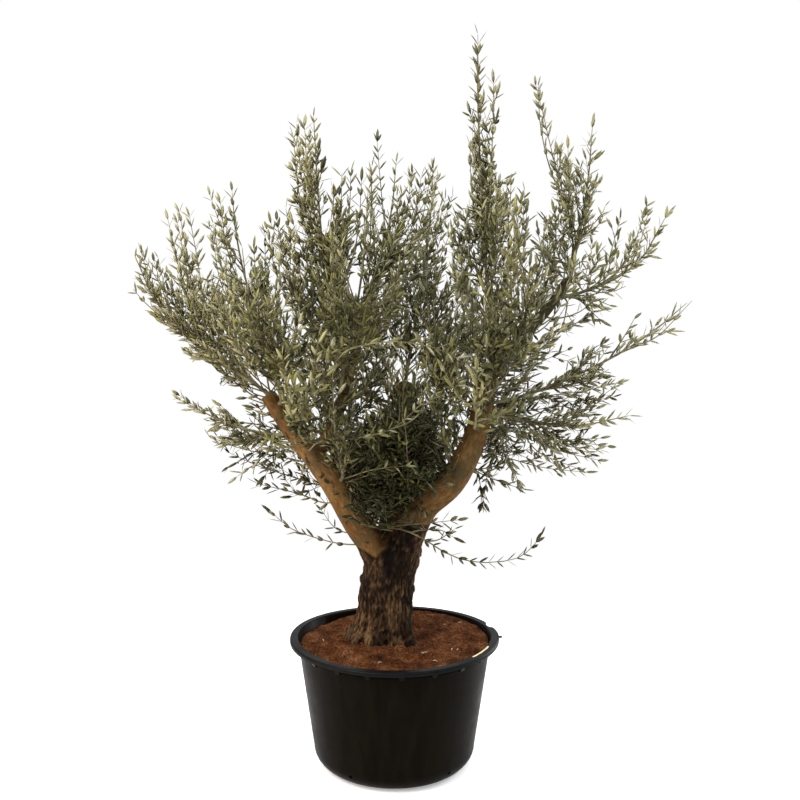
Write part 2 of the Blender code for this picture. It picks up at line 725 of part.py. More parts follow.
def twig_curve(name, path, root_radius, section, collection):
    curve = bpy.data.curves.new(name, "CURVE")
    curve.dimensions = "3D"
    curve.bevel_mode = "OBJECT"
    curve.bevel_object = section
    curve.use_fill_caps = True
    line = curve.splines.new("POLY")
    line.points.add(len(path) - 1)
    for i, (point, place) in enumerate(zip(line.points, path)):
        point.co = (*place, 1.0)
        point.radius = root_radius + (TIP_RADIUS - root_radius) * i / (len(path) - 1)
    return new_object(name, curve, collection)


def curves_to_meshes(curves, collection):
    """Turns each twig's curve into a closed mesh object and removes the curve."""
    graph = bpy.context.evaluated_depsgraph_get()
    meshes = [bpy.data.meshes.new_from_object(curve.evaluated_get(graph)) for curve in curves]
    objects = []
    for curve, mesh in zip(curves, meshes):
        bpy.data.objects.remove(curve)
        bm = bmesh.new()
        bm.from_mesh(mesh)
        bmesh.ops.remove_doubles(bm, verts=bm.verts, dist=WELD)
        bmesh.ops.recalc_face_normals(bm, faces=bm.faces)
        bm.to_mesh(mesh)
        bm.free()
        objects.append(new_object("twig", mesh, collection))
    return objects


def leaf_mesh():
    """A narrow leaf of eight faces along Z, with its root at the origin."""
    bm = bmesh.new()
    bmesh.ops.create_uvsphere(bm, u_segments=4, v_segments=2, radius=0.5)
    bmesh.ops.translate(bm, verts=bm.verts, vec=(0.0, 0.0, 0.5))
    bmesh.ops.scale(bm, verts=bm.verts, vec=(LEAF_WIDTH, LEAF_THICKNESS, LEAF_LENGTH))
    mesh = bpy.data.meshes.new("leaf")
    bm.to_mesh(mesh)
    bm.free()
    return mesh


def leaves_of(path, pairs, turn):
    """Root, direction and roll of the leaf at a twig's tip and of the opposite pairs below it."""
    tip, along = point_along(path, 1.0)
    leaves = [(tip - along * TIP_LEAF_SINK, along, turn)]
    for pair in range(pairs):
        root, along = point_along(path, FIRST_PAIR - PAIR_STEP * pair)
        for half in range(2):
            around = turn + pair * math.pi / 2 + half * math.pi
            direction = turned_aside(along, around, LEAF_ANGLE)
            leaves.append((root - direction * LEAF_SINK, direction, around))
    return leaves


def add_leaf(mesh, root, direction, roll, collection):
    face = turned_aside(direction, roll, math.pi / 2)
    turn = Matrix((face.cross(direction), face, direction)).transposed()
    leaf = new_object("leaf", mesh, collection)
    leaf.matrix_world = Matrix.Translation(root) @ turn.to_4x4()


def grow_mass(name, skeleton, spaces, section, leaf, parts, material):
    """The stem, its shoots and their leaves, joined into one solid that stays in the mass's own space."""
    mass = MASSES[name]

    def fits(points):
        return spaces.holds(name, points, mass.reach)

    def leaf_fits(root, direction):
        ends = [root + direction * LEAF_LENGTH * share for share in (0.4, 0.7, 1.0)]
        return spaces.holds(name, ends, mass.reach + LEAF_LENGTH)

    count = round(SHOOTS_PER_METRE_OF_REACH * mass.reach)
    shoots = [shoot_path(name, k, count, mass, skeleton[0]) for k in range(count)]
    shoots = [cut_to_space(path, fits) for path in shoots]
    twigs = skeleton + [path for path in shoots if path]
    joined = new_collection(f"{name}_pieces")
    curves = [twig_curve("twig", path, SHOOT_RADIUS if k else STEM_RADIUS, section, joined)
              for k, path in enumerate(twigs)]
    body = curves_to_meshes(curves, joined)[0]
    joined.objects.unlink(body)
    parts.objects.link(body)
    for k, path in enumerate(twigs):
        pairs = PAIRS_ON_SKELETON if k < len(skeleton) else PAIRS_ON_SHOOT
        for root, direction, roll in leaves_of(path, pairs, k * GOLDEN_ANGLE):
            if leaf_fits(root, direction):
                add_leaf(leaf, root, direction, roll, joined)
    join_by_union(body, joined)
    keep_main_shell(body.data)
    body.data.materials.clear()
    body.data.materials.append(material)
    body.name = name
    body.data.name = name


def skeleton_of(name, limbs):
    """The stem of a mass and its long shoots."""
    mass = MASSES[name]
    tip = Vector(mass.tip)
    root, normal = root_on(limbs[mass.limb], mass.along, tip)
    tip, arrival = leaf_root(root, tip, mass.rise)
    stem = sprout(root, normal, tip, arrival, SQUARE_START, STEM_POINTS)
    return [stem] + [long_shoot(shoot, stem, mass.rise) for shoot in LONG_SHOOTS.get(name, ())]


def main():
    clear_scene()
    parts = new_collection("potted_olive_tree")
    bark = new_material("bark", (0.150, 0.085, 0.042), 0.90)
    limbs = {}
    add_trunk_and_boughs(parts, bark, limbs)
    add_side_limbs(parts, bark, limbs)
    olive_leaf = new_material("olive_leaf", (0.110, 0.120, 0.052), 0.60)
    skeletons = {name: skeleton_of(name, limbs) for name in MASSES}
    spaces = Spaces(skeletons, limbs)
    section = new_section(new_collection("guides"))
    leaf = leaf_mesh()
    for name, skeleton in skeletons.items():
        grow_mass(name, skeleton, spaces, section, leaf, parts, olive_leaf)
    add_soil(parts, new_material("brown_soil", (0.110, 0.045, 0.022), 0.95))
    add_pot(parts, new_material("black_plastic", (0.020, 0.018, 0.016), 0.45))


main()
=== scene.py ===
"""Looks of the potted olive tree: bark with relief, fine twigs, leaves, soil, pot, floor, lights and camera.

The origin is the centre of the pot's flat underside, +Z is up and the front is -Y. All sizes are in metres.
An azimuth is measured from the front towards +X, in degrees.
"""

import json
import math
import random
from collections import namedtuple

import bmesh
import bpy
import numpy as np
from mathutils import Matrix, Vector, noise
from mathutils.bvhtree import BVHTree

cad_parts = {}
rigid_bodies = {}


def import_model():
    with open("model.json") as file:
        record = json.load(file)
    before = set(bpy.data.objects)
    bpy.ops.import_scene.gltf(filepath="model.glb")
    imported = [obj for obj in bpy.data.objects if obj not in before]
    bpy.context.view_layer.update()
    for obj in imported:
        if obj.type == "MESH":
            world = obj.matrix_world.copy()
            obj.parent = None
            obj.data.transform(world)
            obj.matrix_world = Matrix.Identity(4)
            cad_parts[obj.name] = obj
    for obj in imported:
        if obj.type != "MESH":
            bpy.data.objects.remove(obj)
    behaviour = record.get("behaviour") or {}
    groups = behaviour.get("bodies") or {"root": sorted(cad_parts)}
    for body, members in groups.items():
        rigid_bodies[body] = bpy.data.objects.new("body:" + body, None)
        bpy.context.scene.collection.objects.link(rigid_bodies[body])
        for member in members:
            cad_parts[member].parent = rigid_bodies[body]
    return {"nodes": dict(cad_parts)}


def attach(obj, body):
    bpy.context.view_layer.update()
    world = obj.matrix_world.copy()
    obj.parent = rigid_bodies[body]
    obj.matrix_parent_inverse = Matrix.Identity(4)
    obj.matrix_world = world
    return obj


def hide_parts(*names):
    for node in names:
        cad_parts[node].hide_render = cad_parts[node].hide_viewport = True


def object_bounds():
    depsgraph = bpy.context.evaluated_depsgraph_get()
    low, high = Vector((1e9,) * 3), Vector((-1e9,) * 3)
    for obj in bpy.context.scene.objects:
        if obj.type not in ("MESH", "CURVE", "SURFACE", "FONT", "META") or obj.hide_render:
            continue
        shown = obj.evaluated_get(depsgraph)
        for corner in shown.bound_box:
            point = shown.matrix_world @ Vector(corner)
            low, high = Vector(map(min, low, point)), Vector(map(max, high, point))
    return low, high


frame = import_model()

CAD_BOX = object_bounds()
BODY = "root"
UP = Vector((0, 0, 1))
GAP = 0.0003
GOLDEN_ANGLE = math.pi * (3 - math.sqrt(5))

# Camera: the lens is given in pixels of the 800-pixel frame, and the pot's axis falls on this column
FRAME_PIXELS = 800
LENS_IN_PIXELS = 917
AXIS_COLUMN = 394.2
CAMERA_DISTANCE = 3.38
CAMERA_HEIGHT = 1.59
CAMERA_PITCH = 0.069

# Pot
POT_HEIGHT = 0.468
POT_SIDES = 160
WALL = 0.005
WALL_BASE_RADIUS = 0.302
WALL_TOP_RADIUS = 0.361
CORNER_RADIUS = 0.068
LIP_RADIUS = 0.39
LIP_HEIGHT = 0.015
LIP_ROUNDING = 0.007
COLLAR_RADIUS = 0.368
COLLAR_DROP = 0.027
COLLAR_SPLAY = 0.003
GUSSETS = 20
GUSSET_FIRST_AZIMUTH = 4
GUSSET_WIDTH = 0.02
GUSSET_RADIUS = 0.3845
GUSSET_DROP = 0.036
GUSSET_FOOT_DEPTH = 0.013
GUSSET_ROUNDING = 0.0015
DRAIN_HOLES = 5
DRAIN_FIRST_AZIMUTH = -31
DRAIN_RADIUS = 0.007
DRAIN_SLOPE = math.radians(20)
DRAIN_SIDES = 20

# Warped rim: how far it stands up at its left and right, a grip's bulge, a broken notch and a moulding tag
WARP_FROM = 0.3
RIM_LIFT = 0.008
GRIP_AZIMUTH = 92
GRIP_WIDTH = 14
GRIP_BULGE = 0.004
NOTCH = (102, 111)
NOTCH_DEPTH = 0.7
TAG_AZIMUTH = 88
TAG_SIZE = (0.007, 0.018, 0.007)
TAG_RADIUS = LIP_RADIUS + 0.002
STRIP_AZIMUTHS = (48.5, 67.5)
STRIP_RADII = (0.364, 0.3705)
STRIP_THICKNESS = 0.002
STRIP_WOBBLE = 0.0008
STRIP_STEPS = 24

# Soil
SOIL_SEAT = 0.466
SOIL_EDGE = 0.449
SOIL_TOP_RADIUS = 0.215
SOIL_RINGS = 96
SOIL_SIDES = 340
SOIL_RISE = 0.012
SOIL_RISE_AZIMUTH = 140
SOIL_FOOT_INSET = 0.02
SOIL_FOOT_HEIGHT = 0.012
CHIPS = 12
CHIP_PLACES = (0.18, 0.33)
CHIP_HALF_LENGTHS = (0.005, 0.013)
CHIP_HALF_WIDTHS = (0.0015, 0.0035)
CHIP_HALF_THICKNESS = 0.001
CHIP_CROWN = 0.002
CHIP_LIFT = 0.003

# Hollow beside the trunk's foot and mound in front of it: place, spread and lift
SOIL_FORMS = (
    ((-.25, .02), .05, -.012), ((-.1, -.17), .07, .01), ((-.24, .18), .11, -.01),
)

# Trunk: height above the soil, centre x, centre y, half width, half depth
TRUNK_SECTIONS = (
    (0, -.043, -.006, .109, .103),
    (.018, -.041, -.005, .105, .1),
    (.042, -.037, -.002, .102, .098),
    (.084, -.033, 0, .1, .096),
    (.134, -.03, 0, .101, .096),
    (.189, -.027, 0, .099, .094),
    (.244, -.022, 0, .097, .092),
    (.294, -.014, 0, .102, .094),
    (.334, -.01, 0, .108, .096),
    (.369, -.002, .002, .098, .086),
    (.399, .002, .004, .064, .058),
)

# Boughs that rise from the fork: route, and radius at each point of it. Their stub belongs to the trunk.
BOUGHS = {
    "bough_left": (
        (
            (-.028, -.005, .74), (-.082, -.018, .822), (-.149, -.035, .918), (-.241, -.07, 1.092),
            (-.363, -.1, 1.252), (-.45, -.12, 1.383),
        ),
        (.076, .066, .047, .046, .036, .028),
    ),
    "bough_right": (
        (
            (.008, -.004, .76), (.046, -.01, .868), (.106, -.022, .972), (.216, -.045, 1.068),
            (.3, -.062, 1.24), (.333, -.07, 1.412),
        ),
        (.08, .072, .062, .052, .042, .038),
    ),
    "bough_rear": (
        ((-.006, .015, .76), (0, .072, .88), (.012, .158, 1.01), (.03, .27, 1.19), (.046, .352, 1.4)),
        (.074, .06, .047, .038, .029),
    ),
}
BOUGH_RINGS = 14
STUB_RINGS = 6
LOBE_DEPTHS = (0.05, 0.02)
LOBE_DRIFT = 0.4

# Side limbs: parent, place along it, tip, radius at each end, how steeply they arrive
Limb = namedtuple("Limb", "parent along tip base_radius tip_radius rise")
SIDE_LIMBS = {
    "limb_right_upper": Limb("bough_right", 1, (.64, .04, 1.8), .034, .013, .3),
    "limb_centre": Limb("bough_left", .5, (-.13, .02, 1.64), .029, .013, .75),
}
LIMB_RINGS = 7

# Masses of foliage: limb that carries each, place along it, stem's tip, reach sideways, rise of its shoots
Mass = namedtuple("Mass", "limb along tip reach rise")
MASSES = {
    "left_low": Mass("bough_left", .7, (-.79, -.1, 1.375), .27, .15),
    "left_outer": Mass("bough_left", 1, (-.936, -.08, 1.9), .26, .45),
    "left_top": Mass("bough_left", .92, (-.61, .1, 2.165), .27, .6),
    "left_front": Mass("bough_left", .9, (-.48, -.48, 1.9), .29, .5),
    "left_back": Mass("bough_rear", .84, (-.7, .46, 1.8), .31, .45),
    "left_under": Mass("trunk", .9, (-.45, -.01, .93), .12, .2),
    "centre_left_top": Mass("limb_centre", .72, (-.288, -.06, 2.4), .26, .6),
    "centre_top": Mass("limb_centre", 1, (.01, .12, 2.275), .26, .6),
    "centre_front": Mass("limb_centre", .52, (-.08, -.46, 2.08), .29, .55),
    "centre_low": Mass("bough_rear", .3, (.01, -.19, 1.32), .24, .35),
    "centre_left": Mass("bough_left", .3, (-.2, -.42, 1.5), .26, .45),
    "centre_right": Mass("bough_right", .45, (.13, -.33, 1.72), .27, .5),
    "front_left": Mass("bough_left", .58, (-.33, -.7, 1.56), .27, .35),
    "front_right": Mass("bough_right", .72, (.24, -.72, 1.54), .27, .35),
    "right_peak": Mass("limb_right_upper", .42, (.292, -.06, 2.64), .25, .7),
    "right_top": Mass("limb_right_upper", 1, (.745, .12, 2.415), .27, .6),
    "right_outer": Mass("limb_right_upper", .88, (.976, -.1, 2.04), .25, .45),
    "right_far": Mass("bough_right", .9, (1.11, .04, 1.735), .23, .22),
    "right_low": Mass("bough_right", .82, (.879, -.08, 1.312), .27, .18),
    "right_front": Mass("bough_right", .93, (.48, -.48, 2), .29, .55),
    "fork_front": Mass("trunk", .95, (.505, -.2, .88), .13, .1),
    "back_left": Mass("bough_rear", .92, (-.28, .7, 2.05), .31, .5),
    "back_right": Mass("bough_rear", .95, (.54, .62, 2.02), .32, .5),
    "back_low": Mass("bough_rear", .72, (.06, .85, 1.5), .31, .3),
    "back_top": Mass("bough_rear", 1, (.16, .4, 2.3), .29, .6),
}

# Long shoots that stand out of their mass: place along its stem and tip
LONG_SHOOTS = {
    "left_low": ((.4, (-.76, .02, 1.208)), (.3, (-.6, -.04, 1.06))),
    "left_outer": ((.45, (-.931, -.16, 1.768)), (.35, (-.85, .06, 1.6))),
    "left_top": ((.35, (-.835, .16, 2.057)), (.55, (-.48, .06, 2))),
    "centre_left_top": ((.45, (-.372, .04, 2.354)), (.55, (-.18, -.12, 2.23))),
    "centre_top": ((.5, (-.082, .02, 2.24)), (.45, (.135, .06, 2.185))),
    "right_peak": ((.5, (.346, -.12, 2.5)), (.55, (.246, .02, 2.485))),
    "right_top": ((.25, (.526, .06, 2.538)), (.45, (.837, .16, 2.283))),
    "right_outer": ((.55, (.947, -.02, 2.187)), (.35, (.973, -.14, 1.833))),
    "right_far": ((.4, (.94, -.04, 1.559)),),
    "right_low": ((.5, (.786, 0, 1.126)), (.25, (.48, -.04, 1))),
}

# Finer shoots of the same kind
FINE_SHOOTS = {
    "left_low": ((.62, (-.66, .05, 1.35)), (.36, (-.71, -.08, 1.24)), (.1, (-.5, 0, 1.04))),
    "left_outer": (
        (.62, (-.84, -.18, 1.88)), (.74, (-.91, -.02, 1.79)), (.3, (-.68, -.15, 2)), (.4, (-.74, -.05, 2.05)),
        (.46, (-.8, .05, 2.08)), (.2, (-.6, -.2, 1.86)), (.66, (-.918, -.05, 1.915)),
        (.44, (-.836, .02, 2.046)), (.42, (-.827, .05, 1.954)), (.34, (-.786, -.05, 1.844)),
    ),
    "left_top": (
        (.66, (-.56, -.05, 2.07)), (.45, (-.69, .12, 1.98)), (.3, (-.5, -.1, 1.93)), (.25, (-.43, 0, 1.88)),
        (.6, (-.652, .08, 2.127)), (.74, (-.621, .05, 2.144)), (.52, (-.664, 0, 2.032)),
    ),
    "centre_left_top": (
        (.62, (-.36, .05, 2.4)), (.7, (-.26, -.02, 2.37)), (.66, (-.326, 0, 2.379)),
        (.58, (-.304, -.05, 2.325)), (.45, (-.21, -.15, 2.21)), (.35, (-.41, .1, 2.1)),
        (.3, (-.42, -.1, 2.03)), (.2, (-.47, 0, 2.01)), (.4, (-.16, .08, 2.23)), (.36, (-.11, -.2, 2.15)),
    ),
    "centre_top": (
        (.62, (.07, .1, 2.23)), (.4, (.1, -.1, 2.18)), (.5, (.17, .15, 2.21)), (.34, (.19, -.05, 2.11)),
        (.45, (.03, -.12, 2.12)), (.3, (-.08, -.05, 2.2)), (.25, (.16, -.02, 2)), (.18, (.2, .1, 1.92)),
    ),
    "centre_low": (
        (.6, (.034, -.3, 1.479)), (.7, (-.008, -.25, 1.521)), (.75, (.081, -.22, 1.498)),
        (.5, (.019, -.32, 1.405)),
    ),
    "centre_right": ((.6, (.22, -.28, 1.86)), (.7, (.1, -.34, 1.9)), (.5, (.28, -.2, 1.75))),
    "centre_front": ((.5, (.08, -.42, 1.98)), (.4, (-.2, -.45, 1.92))),
    "right_front": ((.5, (.36, -.45, 1.95)), (.45, (.58, -.42, 1.85)), (.3, (.3, -.42, 1.78))),
    "left_front": ((.5, (-.36, -.46, 1.92)), (.5, (-.6, -.4, 1.82)), (.35, (-.3, -.42, 1.76))),
    "front_left": ((.6, (-.22, -.66, 1.62)), (.5, (-.42, -.62, 1.6))),
    "front_right": ((.6, (.12, -.66, 1.6)), (.5, (.34, -.64, 1.6))),
    "right_peak": (
        (.38, (.23, -.15, 2.19)), (.5, (.28, .08, 2.33)), (.6, (.39, .02, 2.43)), (.3, (.46, -.12, 2.13)),
        (.26, (.5, .1, 2.1)), (.4, (.44, .1, 2.23)), (.12, (.2, -.1, 1.98)), (.2, (.23, .06, 2.06)),
        (.08, (.24, -.02, 1.88)), (.78, (.243, 0, 2.493)),
    ),
    "right_top": (
        (.4, (.62, -.05, 2.29)), (.5, (.79, 0, 2.2)), (.2, (.58, 0, 2.07)), (.14, (.54, .15, 2.03)),
        (.1, (.73, -.1, 1.92)), (.36, (.601, 0, 2.301)),
    ),
    "right_outer": (
        (.66, (.96, 0, 2.19)), (.3, (.91, -.2, 1.82)), (.4, (.77, -.25, 2.01)), (.45, (.836, .05, 1.969)),
        (.3, (.919, 0, 1.775)), (.22, (.766, .05, 1.704)),
    ),
    "right_far": (
        (.7, (1, -.05, 1.58)), (.5, (.94, .15, 1.62)), (.35, (.83, .2, 1.58)), (.8, (1.114, 0, 1.746)),
        (.45, (.918, .05, 1.559)), (.2, (.675, 0, 1.622)),
    ),
    "right_low": (
        (.6, (.85, .1, 1.41)), (.45, (.77, -.15, 1.38)), (.55, (.8, .05, 1.21)), (.4, (.77, -.1, 1.18)),
        (.3, (.71, 0, 1.09)), (.16, (.48, .06, 1.01)), (.08, (.33, .03, .94)),
    ),
}

# Leafy branches that leave the boughs or their own mass's stem: route, whose start is led to what carries it
LEADERS = {
    "left_low": (
        ((-.258, 0, .972), (-.353, .02, 1.002), (-.44, 0, 1.028), (-.5, -.02, 1.047)),
        ((-.283, 0, 1.04), (-.394, .06, 1.064), (-.513, .05, 1.104), (-.609, 0, 1.159)),
        ((-.327, 0, 1.126), (-.464, .08, 1.141), (-.594, .04, 1.177), (-.713, -.03, 1.241)),
        ((-.389, -.04, 1.242), (-.512, 0, 1.267), (-.653, -.05, 1.294), (-.77, -.09, 1.377)),
        ((-.369, -.06, 1.215), (-.485, -.03, 1.222), (-.568, -.02, 1.24), (-.658, 0, 1.349)),
    ),
    "left_outer": (
        ((-.452, -.1, 1.371), (-.52, -.05, 1.39), (-.59, 0, 1.45), (-.69, .05, 1.56)),
        ((-.44, -.1, 1.36), (-.49, -.14, 1.385), (-.57, -.18, 1.48), (-.7, -.2, 1.66)),
        (
            (-.435, -.1, 1.345), (-.534, -.06, 1.39), (-.636, -.03, 1.476), (-.755, -.02, 1.585),
            (-.836, -.05, 1.689), (-.892, -.1, 1.776),
        ),
        ((-.689, -.04, 1.552), (-.783, -.03, 1.679), (-.832, -.02, 1.745), (-.908, -.05, 1.887)),
    ),
    "right_top": (
        (
            (.656, .04, 1.997), (.621, .04, 2.117), (.595, .04, 2.204), (.575, .04, 2.28), (.55, .05, 2.391),
            (.519, .05, 2.506),
        ),
    ),
    "right_outer": (((.62, .03, 1.67), (.706, .03, 1.707), (.803, .02, 1.754), (.93, 0, 1.816)),),
    "right_low": (
        ((.325, 0, 1.282), (.473, .06, 1.307), (.657, .04, 1.335), (.803, -.02, 1.369)),
        ((.31, 0, 1.238), (.477, .08, 1.229), (.644, .06, 1.201), (.789, 0, 1.185)),
        ((.296, 0, 1.185), (.43, .06, 1.133), (.57, .06, 1.095), (.713, .02, 1.085)),
        ((.267, 0, 1.111), (.347, .06, 1.064), (.415, .06, 1.037), (.481, .04, 1.018)),
        ((.274, 0, 1.152), (.316, .05, 1.069), (.328, .05, 1.001), (.327, .04, .934)),
        ((.33, -.02, 1.321), (.493, -.06, 1.368), (.659, -.1, 1.392), (.801, -.1, 1.424)),
        ((.3, -.02, 1.24), (.431, .02, 1.262), (.614, 0, 1.264), (.762, 0, 1.282)),
        ((.29, -.02, 1.166), (.396, .03, 1.159), (.508, .03, 1.167), (.529, .02, 1.149)),
        ((.32, -.02, 1.321), (.469, .03, 1.354), (.659, .05, 1.372), (.789, .05, 1.409)),
    ),
    "right_far": (
        ((.336, -.03, 1.366), (.506, .04, 1.473), (.708, .12, 1.558), (.946, .16, 1.623)),
        ((.336, -.03, 1.373), (.508, -.1, 1.435), (.692, -.14, 1.486), (.872, -.12, 1.56)),
        ((.343, -.03, 1.388), (.515, .1, 1.539), (.68, .18, 1.635), (.847, .2, 1.662)),
    ),
}

# Share of the filling shoots that a mass has, where it isn't 1
FULLNESS = {
    "left_low": .3, "left_outer": .45, "left_top": .55, "centre_left_top": .65, "centre_top": .9,
    "right_peak": .55, "right_top": .16, "right_outer": .25, "right_far": .7, "right_low": .6,
    "centre_left": 1.4, "centre_right": 1.3, "centre_low": 1.4, "centre_front": 1.3,
}

# How far twigs stand off the skeleton at most, where a mass is slimmer than its reach
WIDEST = {
    "left_low": .09, "left_outer": .12, "left_top": .18, "right_peak": .12, "right_top": .1,
    "right_outer": .1, "right_far": .13, "right_low": .15,
}

# Short shoots that clothe limbs: mass that they belong to, first place on the limb, number, lengths and lift
Clothing = namedtuple("Clothing", "mass first count lengths lift")
LIMB_CLOTHING = {
    "limb_right_upper": Clothing("right_top", 0, 34, (.12, .28), .7),
    "limb_centre": Clothing("centre_left_top", 0, 34, (.12, .28), .7),
    "bough_right": Clothing("right_low", .35, 46, (.08, .26), .1),
    "bough_left": Clothing("left_low", .4, 34, (.06, .16), 0),
}
CLOTHING_SPREAD = 0.03
BARE_TOWARDS_FRONT = -0.25

# Openings where sky shows: column, row, half length, half width and tilt, as the camera sees them.
# An opening that shows wood holds only what is nearer than a given y.
SkyGap = namedtuple("SkyGap", "column row half_length half_width tilt nearer_than", defaults=(math.inf,))
SKY_GAPS = (
    SkyGap(272, 413, 30, 9, -63, -.11),
    SkyGap(471, 436, 28, 10, 77, -.075),
    SkyGap(538, 165, 50, 9, -80),
    SkyGap(461, 156, 52, 7, -86),
    SkyGap(505, 152, 26, 8, 90),
    SkyGap(166, 343, 42, 8, -53),
    SkyGap(221, 396, 38, 7, -43),
    SkyGap(205, 372, 16, 9, -37),
    SkyGap(198, 437, 20, 8, -45),
    SkyGap(243, 252, 32, 5, -87),
    SkyGap(338, 172, 20, 4, 81),
    SkyGap(324, 221, 13, 4, 80),
    SkyGap(358, 283, 12, 7, -62),
    SkyGap(550, 320, 26, 5, 52),
    SkyGap(553, 372, 26, 4, 22),
    SkyGap(621, 312, 22, 5, 37),
    SkyGap(636, 358, 34, 9, 12),
    SkyGap(609, 184, 21, 4, 80),
    SkyGap(652, 191, 14, 5, 77),
    SkyGap(206, 265, 11, 5, -82),
    SkyGap(589, 341, 15, 4, 13),
)

# Single shoots that show in front of the crown or below it, by mass: route, led to what carries it
SPRIGS = {
    "fork_front": (
        (
            (-.02, -.06, .89), (.032, -.12, .896), (.099, -.14, .871), (.199, -.16, .814), (.304, -.18, .792),
            (.426, -.19, .807), (.481, -.2, .849), (.512, -.2, .888),
        ),
        ((-.02, -.06, .892), (.032, -.12, .914), (.1, -.13, .921), (.225, -.13, .934)),
        ((.06, -.128, .888), (.1, -.13, .898), (.164, -.14, .9), (.21, -.14, .875)),
        ((.12, -.143, .86), (.16, -.15, .868), (.215, -.15, .905)),
    ),
    "left_under": (
        (
            (-.11, -.02, .83), (-.164, -.02, .82), (-.249, -.02, .833), (-.363, -.03, .873),
            (-.409, -.03, .903), (-.451, -.03, .94),
        ),
        ((-.13, -.01, .86), (-.187, 0, .862), (-.228, 0, .885), (-.269, 0, .942)),
    ),
    "centre_left": (
        (
            (-.3, -.18, 1.19), (-.251, -.25, 1.236), (-.154, -.28, 1.243), (-.088, -.3, 1.255),
            (-.014, -.32, 1.278), (.033, -.33, 1.312), (.099, -.34, 1.373), (.155, -.34, 1.393),
            (.208, -.34, 1.43),
        ),
        ((-.001, -.322, 1.284), (.043, -.33, 1.302), (.076, -.34, 1.327), (.099, -.35, 1.364)),
        ((-.176, -.1, 1.08), (-.092, -.2, 1.122), (-.025, -.23, 1.138), (.042, -.24, 1.146)),
        ((-.32, -.06, 1.13), (-.297, -.16, 1.226), (-.221, -.24, 1.321), (-.143, -.28, 1.383)),
    ),
    "centre_right": (
        (
            (.15, -.05, 1.03), (.136, -.11, 1.05), (.097, -.17, 1.093), (.066, -.2, 1.129),
            (.048, -.22, 1.159), (.044, -.24, 1.197), (.04, -.26, 1.261), (.033, -.27, 1.324),
        ),
        ((.26, -.06, 1.2), (.237, -.12, 1.219), (.187, -.2, 1.265), (.106, -.24, 1.29)),
    ),
    "centre_front": (
        (
            (-.2, -.3, 1.5), (-.162, -.36, 1.54), (-.104, -.4, 1.561), (-.013, -.44, 1.574),
            (.07, -.45, 1.567), (.149, -.45, 1.547), (.213, -.43, 1.515), (.279, -.4, 1.472),
        ),
    ),
    "left_front": (
        (
            (-.44, -.11, 1.37), (-.438, -.2, 1.468), (-.368, -.26, 1.531), (-.269, -.3, 1.619),
            (-.196, -.33, 1.678),
        ),
    ),
}
SPRIGS_ALONE = ("fork_front", "left_under")
ROOT_SLACK = 0.012

# Short shoots that fill the fork, which widens upwards from its crotch
FORK_MASS = "centre_low"
FORK_SHOOTS = 116
FORK_ROOTS = (0.18, 0.72)
FORK_RISES = (0.06, 0.24)
FORK_DEPTHS = (-0.17, 0.12)
FORK_MIDDLE = -0.03
FORK_CROTCH = 0.87
FORK_HALF_WIDTH = 0.06
FORK_OPENING = 0.64
FORK_SPREAD = 0.1

# Growth rule of the solids. A pair gives a value at a stem's foot and at its tip.
SQUARE_START = 0.01
SQUARE_PULL = 0.07
ARRIVAL_PULL = 0.35
STEM_POINTS = 7
LONG_SHOOT_POINTS = 5
SHOOTS_PER_METRE_OF_REACH = 14
SHOOT_PLACES = (0.26, 0.93)
SHOOT_LENGTHS = (1, 0.35)
SHOOT_ANGLES = (math.radians(64), math.radians(34))
SHOOT_TURN_SPREAD = 0.4
SHOOT_LENGTH_SPREAD = (0.85, 1.15)
LIMB_MARGIN = 0.01
SOLID_LEAF_LENGTH = 0.18
SOLID_TIP_LEAF_SINK = 0.007
TURN_START = Vector((0.31, 0.95, 0.05))

# The same rule carried on to fine shoots, twigs and leaves
STEM_SAMPLES = 26
LONG_SHOOT_SAMPLES = 18
SHOOT_SAMPLES = 8
TWIG_SAMPLES = 5
STEM_SUNK = 0.012
TIP_SHORT = 0.032
FILL_SHOOTS_PER_METRE_OF_REACH = 112
FILL_PLACES = (0.14, 0.84)
FILL_CROWDING = 1.2
FILL_LENGTHS = (0.46, 0.2)
FILL_LENGTH_SPREAD = (0.7, 1.15)
FILL_ANGLES = (math.radians(50), math.radians(24))
FILL_ANGLE_SPREAD = (0.75, 1.2)
FILL_TURN_SPREAD = 0.5
FILL_LIFT = 0.8
SHOOT_RUN_ON = 0.1
PLUME_TIP = 0.01
PLUME_SPREAD = 0.09
PLUME_LENGTH = 0.4
CORE_SPREAD = 0.6
SHOOT_REACH = 0.13
LEAF_REACH = 0.24
DROOP = 0.03
FINE_MARGIN = 0.002
BOX_MARGIN = 0.02
TWIG_STEP = 0.04
TWIG_LENGTHS = (0.17, 0.06)
TWIG_ANGLES = (math.radians(28), math.radians(50))
TWIG_RISE = 0.45
LEAF_STEP = 0.034
LEAF_LENGTHS = (0.036, 0.056)
LEAF_WIDTHS = (0.01, 0.014)
LEAF_ANGLES = (math.radians(32), math.radians(66))
LEAF_ROLL = math.radians(28)
LEAF_BEND = 0.1
LEAF_RIDGE = 0.0011

# Kinds of twig: radius at the foot, sides, share of its length without leaves, and its own twigs: the first
# one's place as a share of its length and as a distance, and the share of its length up to the last one
Kind = namedtuple("Kind", "radius sides leafy_from first_share first_place twigs_up_to", defaults=(0, 0, 0))
KINDS = {
    "stem": Kind(0.0085, 8, 0.36, 0.26, 0, 0.84),
    "long": Kind(0.0036, 5, 0.12, 0.1, 0, 0.84),
    "shoot": Kind(0.003, 4, 0.26, 0, 0.06, 0.74),
    "twig": Kind(0.0016, 3, 0.06),
    "sprig": Kind(0.0036, 6, 0.3),
}
TIP_RADIUS = 0.0009

